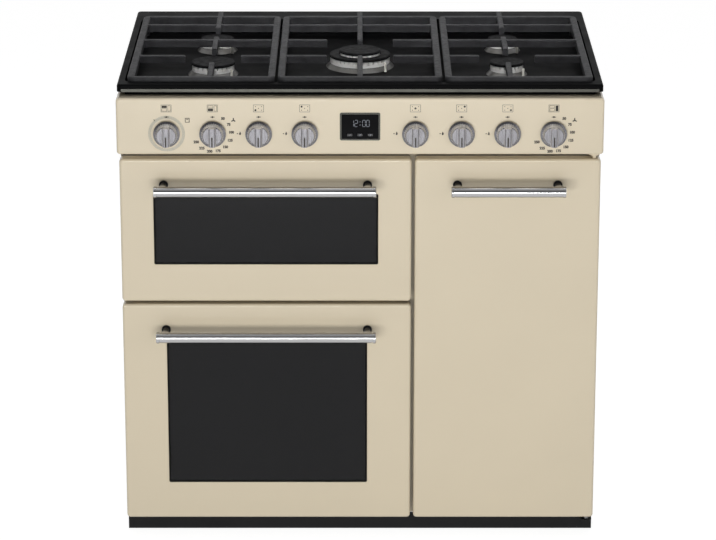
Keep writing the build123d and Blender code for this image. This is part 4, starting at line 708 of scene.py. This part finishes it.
def burner_pictogram(mesh, x, z, place, depths):
    """The hob's outline with its five burners, the knob's own one filled larger."""
    box_outline(mesh, x, z, PICTOGRAM_WIDTH, PICTOGRAM_HEIGHT, PICTOGRAM_LINE, *depths)
    for across, along in GAS_KNOBS.values():
        radius = CHOSEN_SPOT if (across, along) == place else BURNER_SPOT
        spot_x = x + across * PICTOGRAM_WIDTH * SPOT_ACROSS
        spot_z = z + along * PICTOGRAM_HEIGHT * SPOT_ALONG
        prism(mesh, disc_outline(spot_x, spot_z, radius), *depths)


def off_mark(mesh, x, z, depths):
    """A dot with a short bar on either side, above a knob."""
    bar = OFF_MARK_WIDTH / 2 - OFF_DOT_RADIUS
    reach = OFF_DOT_RADIUS + bar / 2
    for side in (-1, 1):
        prism(mesh, bar_outline(x + side * reach, z, bar, OFF_MARK_HEIGHT), *depths)
    prism(mesh, disc_outline(x, z, OFF_DOT_RADIUS), *depths)


def oven_fields(mesh, x, z, chosen, depths):
    """The cooker's front in its outline, with the oven that the knob serves filled."""
    box_outline(mesh, x, z, PICTOGRAM_WIDTH, PICTOGRAM_HEIGHT, PICTOGRAM_LINE, *depths)
    inner_width = PICTOGRAM_WIDTH - 4 * PICTOGRAM_LINE
    inner_height = PICTOGRAM_HEIGHT - 4 * PICTOGRAM_LINE
    for name, (across, along, width, height) in OVEN_FIELDS.items():
        place = (x + across * inner_width, z + along * inner_height)
        size = (width * inner_width, height * inner_height)
        if name == chosen:
            prism(mesh, bar_outline(*place, *size), *depths)
            continue
        box_outline(mesh, *place, *size, PICTOGRAM_LINE, *depths)


def fan_symbol(mesh, x, z, depths):
    """Three blades that meet in the middle."""
    blade = SYMBOL_SIZE / 2
    for turn in (0, 120, 240):
        angle = math.radians(turn)
        blade_x = x + blade / 2 * math.sin(angle)
        blade_z = z + blade / 2 * math.cos(angle)
        prism(mesh, bar_outline(blade_x, blade_z, blade / 2, blade, turn), *depths)


def grill_symbol(mesh, x, z, depths):
    """An oven's outline with the element under its roof."""
    box_outline(mesh, x, z, SYMBOL_SIZE, SYMBOL_SIZE, SYMBOL_LINE, *depths)
    element_z = z + SYMBOL_SIZE / 2 - 2.5 * SYMBOL_LINE
    prism(mesh, bar_outline(x, element_z, SYMBOL_SIZE / 2, SYMBOL_LINE), *depths)


def flame_mark(mesh, x, z, depths):
    """The flame that stands for the largest setting, and a dot for the smallest."""
    flame = [(x + across, z + rise) for across, rise in FLAME_OUTLINE]
    prism(mesh, flame, *depths)
    prism(mesh, disc_outline(x - FLAME_DOT_REACH, z, FLAME_DOT_RADIUS), *depths)


def print_panel():
    """The control panel's dark print, but for the dial numbers."""
    depths = print_depths("control_panel")
    mesh = bmesh.new()
    for name in OVEN_FIELDS:
        x, z = middle(f"oven_knob_{name}")
        oven_fields(mesh, x, z + PICTOGRAM_RISE, name, depths)
        off_mark(mesh, x, z + ZERO_RISE, depths)
    for name, place in GAS_KNOBS.items():
        x, z = middle(f"gas_knob_{name}")
        burner_pictogram(mesh, x, z + PICTOGRAM_RISE, place, depths)
        off_mark(mesh, x, z + ZERO_RISE, depths)
        flame_mark(mesh, x - FLAME_REACH, z, depths)
    for name in ("main", "tall"):
        x, z = middle(f"oven_knob_{name}")
        fan_symbol(mesh, x + SYMBOL_ACROSS, z + SYMBOL_RISE, depths)
    x, z = middle("oven_knob_upper")
    grill_symbol(mesh, x + SYMBOL_ACROSS, z + SYMBOL_RISE, depths)
    tick = bar_outline(x + TICK_ACROSS, z + SYMBOL_RISE, TICK_WIDTH, TICK_HEIGHT, TICK_TURN)
    prism(mesh, tick, *depths)
    add_piece("panel_print", mesh, DARK_INK, "cooker")


def print_selector_ring():
    """The pale ring round the upper oven's knob."""
    mesh = bmesh.new()
    ring = arc_outline(*middle("oven_knob_upper"), RING_INNER, RING_OUTER, RING_TURN, RING_STEPS)
    prism(mesh, ring, *print_depths("control_panel"))
    add_piece("selector_ring", mesh, PALE_INK, "cooker")


def write_dial_numbers():
    """Plain temperature numbers round the two oven thermostats."""
    face = print_depths("control_panel")[0]
    for name in ("main", "tall"):
        x, z = middle(f"oven_knob_{name}")
        for step, number in enumerate(DIAL_NUMBERS):
            turn = math.radians(DIAL_FIRST_ANGLE + DIAL_STEP_ANGLE * step)
            curve = bpy.data.curves.new(f"dial_{name}_{number}", "FONT")
            curve.body = number
            curve.size = DIAL_NUMBER_SIZE
            curve.offset = DIAL_NUMBER_BOLDNESS
            curve.align_x = "CENTER"
            curve.align_y = "CENTER"
            curve.extrude = PRINT_THICKNESS / 2
            curve.materials.append(DARK_INK)
            piece = bpy.data.objects.new(curve.name, curve)
            scene.collection.objects.link(piece)
            place = (x + DIAL_NUMBER_RADIUS * math.sin(turn), face, z + DIAL_NUMBER_RADIUS * math.cos(turn))
            piece.matrix_world = Matrix.Translation(place) @ Matrix.Rotation(math.pi / 2, 4, "X")
            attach(piece, "cooker")


def clock_digits():
    """Seven-segment digits just in front of the clock's lens."""
    depths = print_depths("clock_module")
    clock_x, clock_z = middle("clock_module")
    z = clock_z + DIGIT_RISE
    right = DIGIT_WIDTH / 2
    top = DIGIT_HEIGHT / 2
    flat = DIGIT_WIDTH - DIGIT_STROKE
    upright = top - DIGIT_STROKE
    places = {
        "a": (0, top, flat, DIGIT_STROKE),
        "b": (right, top / 2, DIGIT_STROKE, upright),
        "c": (right, -top / 2, DIGIT_STROKE, upright),
        "d": (0, -top, flat, DIGIT_STROKE),
        "e": (-right, -top / 2, DIGIT_STROKE, upright),
        "f": (-right, top / 2, DIGIT_STROKE, upright),
        "g": (0, 0, flat, DIGIT_STROKE),
    }
    mesh = bmesh.new()
    for index, character in enumerate(CLOCK_READING):
        x = clock_x + DIGIT_PITCH * (index - (len(CLOCK_READING) - 1) / 2)
        if character == ":":
            for side in (-1, 1):
                dot = disc_outline(x, z + side * top / 2, DIGIT_STROKE * COLON_DOT, COLON_SIDES)
                prism(mesh, dot, *depths)
            continue
        for segment in SEGMENTS[character]:
            across, rise, width, height = places[segment]
            prism(mesh, bar_outline(x + across, z + rise, width, height), *depths)
    add_piece("clock_digits", mesh, SEGMENT, "cooker")


def clock_bezel():
    """A slim bevelled frame round the edge of the clock's lens."""
    x, z = middle("clock_module")
    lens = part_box("clock_module")[0].y
    front = lens - BEZEL_PROUD
    back = lens + BEZEL_SINK
    bevel = BEZEL_PROUD
    profile = [
        (0.0, back),
        (0.0, front + bevel),
        (bevel, front),
        (BEZEL_WIDTH - 2 * bevel, front),
        (BEZEL_WIDTH, back),
    ]
    right = CLOCK_WIDTH / 2
    top = CLOCK_HEIGHT / 2
    mesh = bmesh.new()
    rounded_frame(mesh, x - right, x + right, z - top, z + top, CLOCK_CORNER, profile)
    add_piece("clock_bezel", mesh, TRIM_METAL, "cooker")


def key_symbols():
    """A minus, a clock face and a plus on the three keys."""
    for place in ("left", "middle", "right"):
        key = f"clock_button_{place}"
        x, z = middle(key)
        depths = print_depths(key)
        mesh = bmesh.new()
        if place == "middle":
            ring = arc_outline(x, z, KEY_RING_INNER, KEY_RING_OUTER, KEY_RING_TURN, KEY_RING_STEPS)
            prism(mesh, ring, *depths)
            prism(mesh, bar_outline(x + KEY_HAND_ACROSS, z, KEY_HAND_LENGTH, KEY_HAND_WIDTH), *depths)
        else:
            prism(mesh, bar_outline(x, z, KEY_SIGN_WIDTH, KEY_SIGN_LINE), *depths)
        if place == "right":
            arm = (KEY_SIGN_WIDTH - KEY_SIGN_LINE) / 2
            reach = (KEY_SIGN_LINE + arm) / 2
            for side in (-1, 1):
                prism(mesh, bar_outline(x, z + side * reach, KEY_SIGN_LINE, arm), *depths)
        add_piece(f"key_symbol_{place}", mesh, SEGMENT, key)


def knob_dark_lines():
    """A dark line let into each knob's grip, from its middle down."""
    for name in knob_names():
        lowest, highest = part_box(name)
        x, z = middle(name)
        radius = (highest.z - lowest.z) / 2
        mesh = bmesh.new()
        line = bar_outline(x, z - radius * KNOB_LINE_DROP, KNOB_LINE_WIDTH, radius * KNOB_LINE_LENGTH)
        prism(mesh, line, lowest.y - PRINT_LIFT, lowest.y + KNOB_LINE_DEPTH)
        add_piece(f"dark_line_{name}", mesh, DARK_INK, name)


def hob_trim():
    """A slim steel strip along the lower half of the hob's front edge."""
    lowest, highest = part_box("hob_top")
    edge_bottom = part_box("side_panels")[1].z
    length = highest.x - lowest.x - 2 * TRIM_END_GAP
    mesh = bmesh.new()
    strip = bar_outline(0.0, edge_bottom + TRIM_HEIGHT / 2, length, TRIM_HEIGHT)
    prism(mesh, strip, lowest.y - TRIM_PROUD, lowest.y + TRIM_PROUD)
    bmesh.ops.bevel(mesh, geom=mesh.edges[:], offset=TRIM_PROUD / 2, segments=2, affect="EDGES")
    add_piece("hob_trim", mesh, TRIM_METAL, "cooker")


def window_edges(door, side):
    """The left, right, lower and upper edge of a drop-down door's window."""
    lowest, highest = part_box(f"{door}_door_skin")
    return lowest.x + side, highest.x - side, lowest.z + WINDOW_BOTTOM, highest.z - WINDOW_TOP


def window_border(door, side):
    """A black band on the outer pane, just inside the window."""
    front, back = print_depths(f"{door}_door_glass")
    inner = BORDER_GAP + BORDER_WIDTH
    profile = [(BORDER_GAP, back), (BORDER_GAP, front), (inner, front), (inner, back)]
    mesh = bmesh.new()
    rounded_frame(mesh, *window_edges(door, side), WINDOW_CORNER, profile)
    add_piece(f"{door}_window_border", mesh, BORDER_INK, f"{door}_door")


def window_bead(door, side):
    """A slim rounded bead round the window of a drop-down door."""
    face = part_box(f"{door}_door_skin")[0].y
    curve = bpy.data.curves.new(f"{door}_window_bead", "CURVE")
    curve.dimensions = "3D"
    curve.bevel_depth = WINDOW_BEAD
    curve.bevel_resolution = BEAD_RESOLUTION
    spline = curve.splines.new("POLY")
    points = rounded_rectangle(*window_edges(door, side), WINDOW_CORNER)
    spline.points.add(len(points) - 1)
    for point, (x, z) in zip(spline.points, points):
        point.co = (x, face + WINDOW_BEAD / 2, z, 1.0)
    spline.use_cyclic_u = True
    curve.materials.append(SLOT_MATERIALS["cream_enamel"])
    piece = bpy.data.objects.new(curve.name, curve)
    scene.collection.objects.link(piece)
    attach(piece, f"{door}_door")


def screw_mesh(mesh, x, y, z):
    """A domed head with a six-sided socket, facing the rear."""
    head = [
        (SCREW_RADIUS, 0.0),
        (SCREW_RADIUS, SCREW_HEIGHT * SCREW_SHOULDER),
        (SCREW_RADIUS * SCREW_DOME_REACH, SCREW_HEIGHT * SCREW_DOME),
        (SCREW_SOCKET * SCREW_LIP_REACH, SCREW_HEIGHT),
    ]
    socket = [(SCREW_SOCKET, SCREW_HEIGHT), (SCREW_SOCKET, SCREW_HEIGHT * SCREW_FLOOR)]
    sector = math.pi / 3
    rings = []
    for index, (radius, rise) in enumerate(head + socket):
        ring = []
        for side in range(SCREW_SIDES):
            angle = 2 * math.pi * side / SCREW_SIDES
            reach = radius
            if index >= len(head):
                reach = radius * math.cos(sector / 2) / math.cos((angle % sector) - sector / 2)
            ring.append(mesh.verts.new((x + reach * math.cos(angle), y + rise, z + reach * math.sin(angle))))
        rings.append(ring)
    for ring, following in zip(rings, rings[1:]):
        join_rings(mesh, ring, following)
    mesh.faces.new(rings[-1])
    mesh.faces.new(list(reversed(rings[0])))


def rear_screws():
    """Screws round the edge of the rear panel."""
    lowest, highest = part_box("rear_panel")
    sheet_back = lowest.y + REAR_SHEET
    first = lowest.x + REAR_SCREW_INSET
    pitch = (highest.x - lowest.x - 2 * REAR_SCREW_INSET) / (REAR_SCREW_COLUMNS - 1)
    columns = [first + pitch * place for place in range(REAR_SCREW_COLUMNS)]
    mesh = bmesh.new()
    for x in columns:
        for z in (lowest.z + REAR_SCREW_INSET, highest.z - REAR_SCREW_INSET):
            screw_mesh(mesh, x, sheet_back, z)
    for x in (columns[0], columns[-1]):
        for share in REAR_SCREW_ROWS:
            screw_mesh(mesh, x, sheet_back, lowest.z + share * (highest.z - lowest.z))
    add_piece("rear_screws", mesh, SLOT_MATERIALS["hinge_steel"], "cooker")


# Stage

def seen_rays(tree):
    """1 for the rays of the camera and those that metal and glass send on."""
    path = tree.nodes.new("ShaderNodeLightPath")
    total = None
    for ray in ("Is Camera Ray", "Is Glossy Ray", "Is Transmission Ray"):
        if total is None:
            total = path.outputs[ray]
            continue
        either = tree.nodes.new("ShaderNodeMath")
        either.operation = "MAXIMUM"
        tree.links.new(total, either.inputs[0])
        tree.links.new(path.outputs[ray], either.inputs[1])
        total = either.outputs[0]
    return total


def white_floor():
    """A pale floor that the camera sees as white, with the cooker's shadow on it."""
    mesh = bmesh.new()
    bmesh.ops.create_grid(mesh, x_segments=1, y_segments=1, size=FLOOR_SIZE / 2)
    build = bpy.data.meshes.new("floor")
    mesh.to_mesh(build)
    mesh.free()
    floor = bpy.data.objects.new("floor", build)
    scene.collection.objects.link(floor)
    material = bpy.data.materials.new("floor")
    material.use_nodes = True
    tree = material.node_tree
    tree.nodes.clear()
    lit = tree.nodes.new("ShaderNodeBsdfDiffuse")
    lit.inputs["Color"].default_value = grey(FLOOR_LIT)
    glow = tree.nodes.new("ShaderNodeEmission")
    glow.inputs["Strength"].default_value = FLOOR_GLOW
    seen = tree.nodes.new("ShaderNodeAddShader")
    tree.links.new(glow.outputs[0], seen.inputs[0])
    tree.links.new(lit.outputs[0], seen.inputs[1])
    bounce = tree.nodes.new("ShaderNodeBsdfDiffuse")
    bounce.inputs["Color"].default_value = grey(FLOOR_BOUNCE)
    choice = tree.nodes.new("ShaderNodeMixShader")
    tree.links.new(seen_rays(tree), choice.inputs["Fac"])
    tree.links.new(bounce.outputs[0], choice.inputs[1])
    tree.links.new(seen.outputs[0], choice.inputs[2])
    output = tree.nodes.new("ShaderNodeOutputMaterial")
    tree.links.new(choice.outputs[0], output.inputs["Surface"])
    build.materials.append(material)


def studio_world():
    """White behind the cooker, a dimmer room in front of it, and an even ambient light."""
    world = bpy.data.worlds.new("studio")
    scene.world = world
    world.use_nodes = True
    tree = world.node_tree
    tree.nodes.clear()
    direction = tree.nodes.new("ShaderNodeTexCoord")
    split = tree.nodes.new("ShaderNodeSeparateXYZ")
    tree.links.new(direction.outputs["Generated"], split.inputs[0])
    depth = tree.nodes.new("ShaderNodeMapRange")
    depth.inputs["From Min"].default_value = FRONT_DEPTH
    depth.inputs["From Max"].default_value = WHITE_DEPTH
    depth.inputs["To Min"].default_value = FRONT_REFLECTION
    depth.inputs["To Max"].default_value = 1.0
    tree.links.new(split.outputs["Y"], depth.inputs["Value"])
    shown = tree.nodes.new("ShaderNodeBackground")
    tree.links.new(depth.outputs["Result"], shown.inputs["Strength"])
    ambient = tree.nodes.new("ShaderNodeBackground")
    ambient.inputs["Strength"].default_value = AMBIENT
    choice = tree.nodes.new("ShaderNodeMixShader")
    tree.links.new(seen_rays(tree), choice.inputs["Fac"])
    tree.links.new(ambient.outputs[0], choice.inputs[1])
    tree.links.new(shown.outputs[0], choice.inputs[2])
    output = tree.nodes.new("ShaderNodeOutputWorld")
    tree.links.new(choice.outputs[0], output.inputs["Surface"])


def soft_light(name, place, aim, size, power, beam=180.0):
    light = bpy.data.lights.new(name, "AREA")
    light.shape = "RECTANGLE"
    light.size, light.size_y = size
    light.energy = power
    light.spread = math.radians(beam)
    lamp = bpy.data.objects.new(name, light)
    lamp.location = place
    lamp.rotation_euler = (Vector(aim) - Vector(place)).to_track_quat("-Z", "Y").to_euler()
    scene.collection.objects.link(lamp)


def studio_lights():
    soft_light("key", KEY_PLACE, KEY_AIM, KEY_SIZE, KEY_POWER)
    soft_light("fill", FILL_PLACE, FILL_AIM, FILL_SIZE, FILL_POWER)
    soft_light("top", TOP_PLACE, TOP_AIM, TOP_SIZE, TOP_POWER)
    soft_light("hob", HOB_PLACE, HOB_AIM, HOB_SIZE, HOB_POWER, HOB_BEAM)


def photo_camera():
    pitch = math.radians(CAMERA_PITCH)
    camera = bpy.data.objects.new("camera", bpy.data.cameras.new("camera"))
    camera.data.sensor_width = SENSOR_WIDTH
    camera.data.lens = FOCAL_PIXELS * SENSOR_WIDTH / IMAGE_WIDTH
    camera.data.clip_end = CAMERA_FAR
    away = Vector((0.0, -math.cos(pitch), math.sin(pitch))) * CAMERA_DISTANCE
    camera.location = Vector(CAMERA_TARGET) + away
    camera.rotation_euler = (math.pi / 2 - pitch, 0.0, 0.0)
    scene.collection.objects.link(camera)
    scene.camera = camera


dress_nodes()
for handle in ("upper_door_handle", "lower_door_handle", "tall_door_handle"):
    dress_posts(handle)
paint_knob_highlights()
dress_pivots()
dress_terminal_cover()
print_panel()
print_selector_ring()
write_dial_numbers()
clock_bezel()
clock_digits()
key_symbols()
knob_dark_lines()
hob_trim()
for door, side in (("upper", UPPER_WINDOW_SIDE), ("lower", LOWER_WINDOW_SIDE)):
    window_bead(door, side)
    window_border(door, side)
rear_screws()
white_floor()
studio_world()
studio_lights()
photo_camera()
scene.view_settings.view_transform = "Standard"
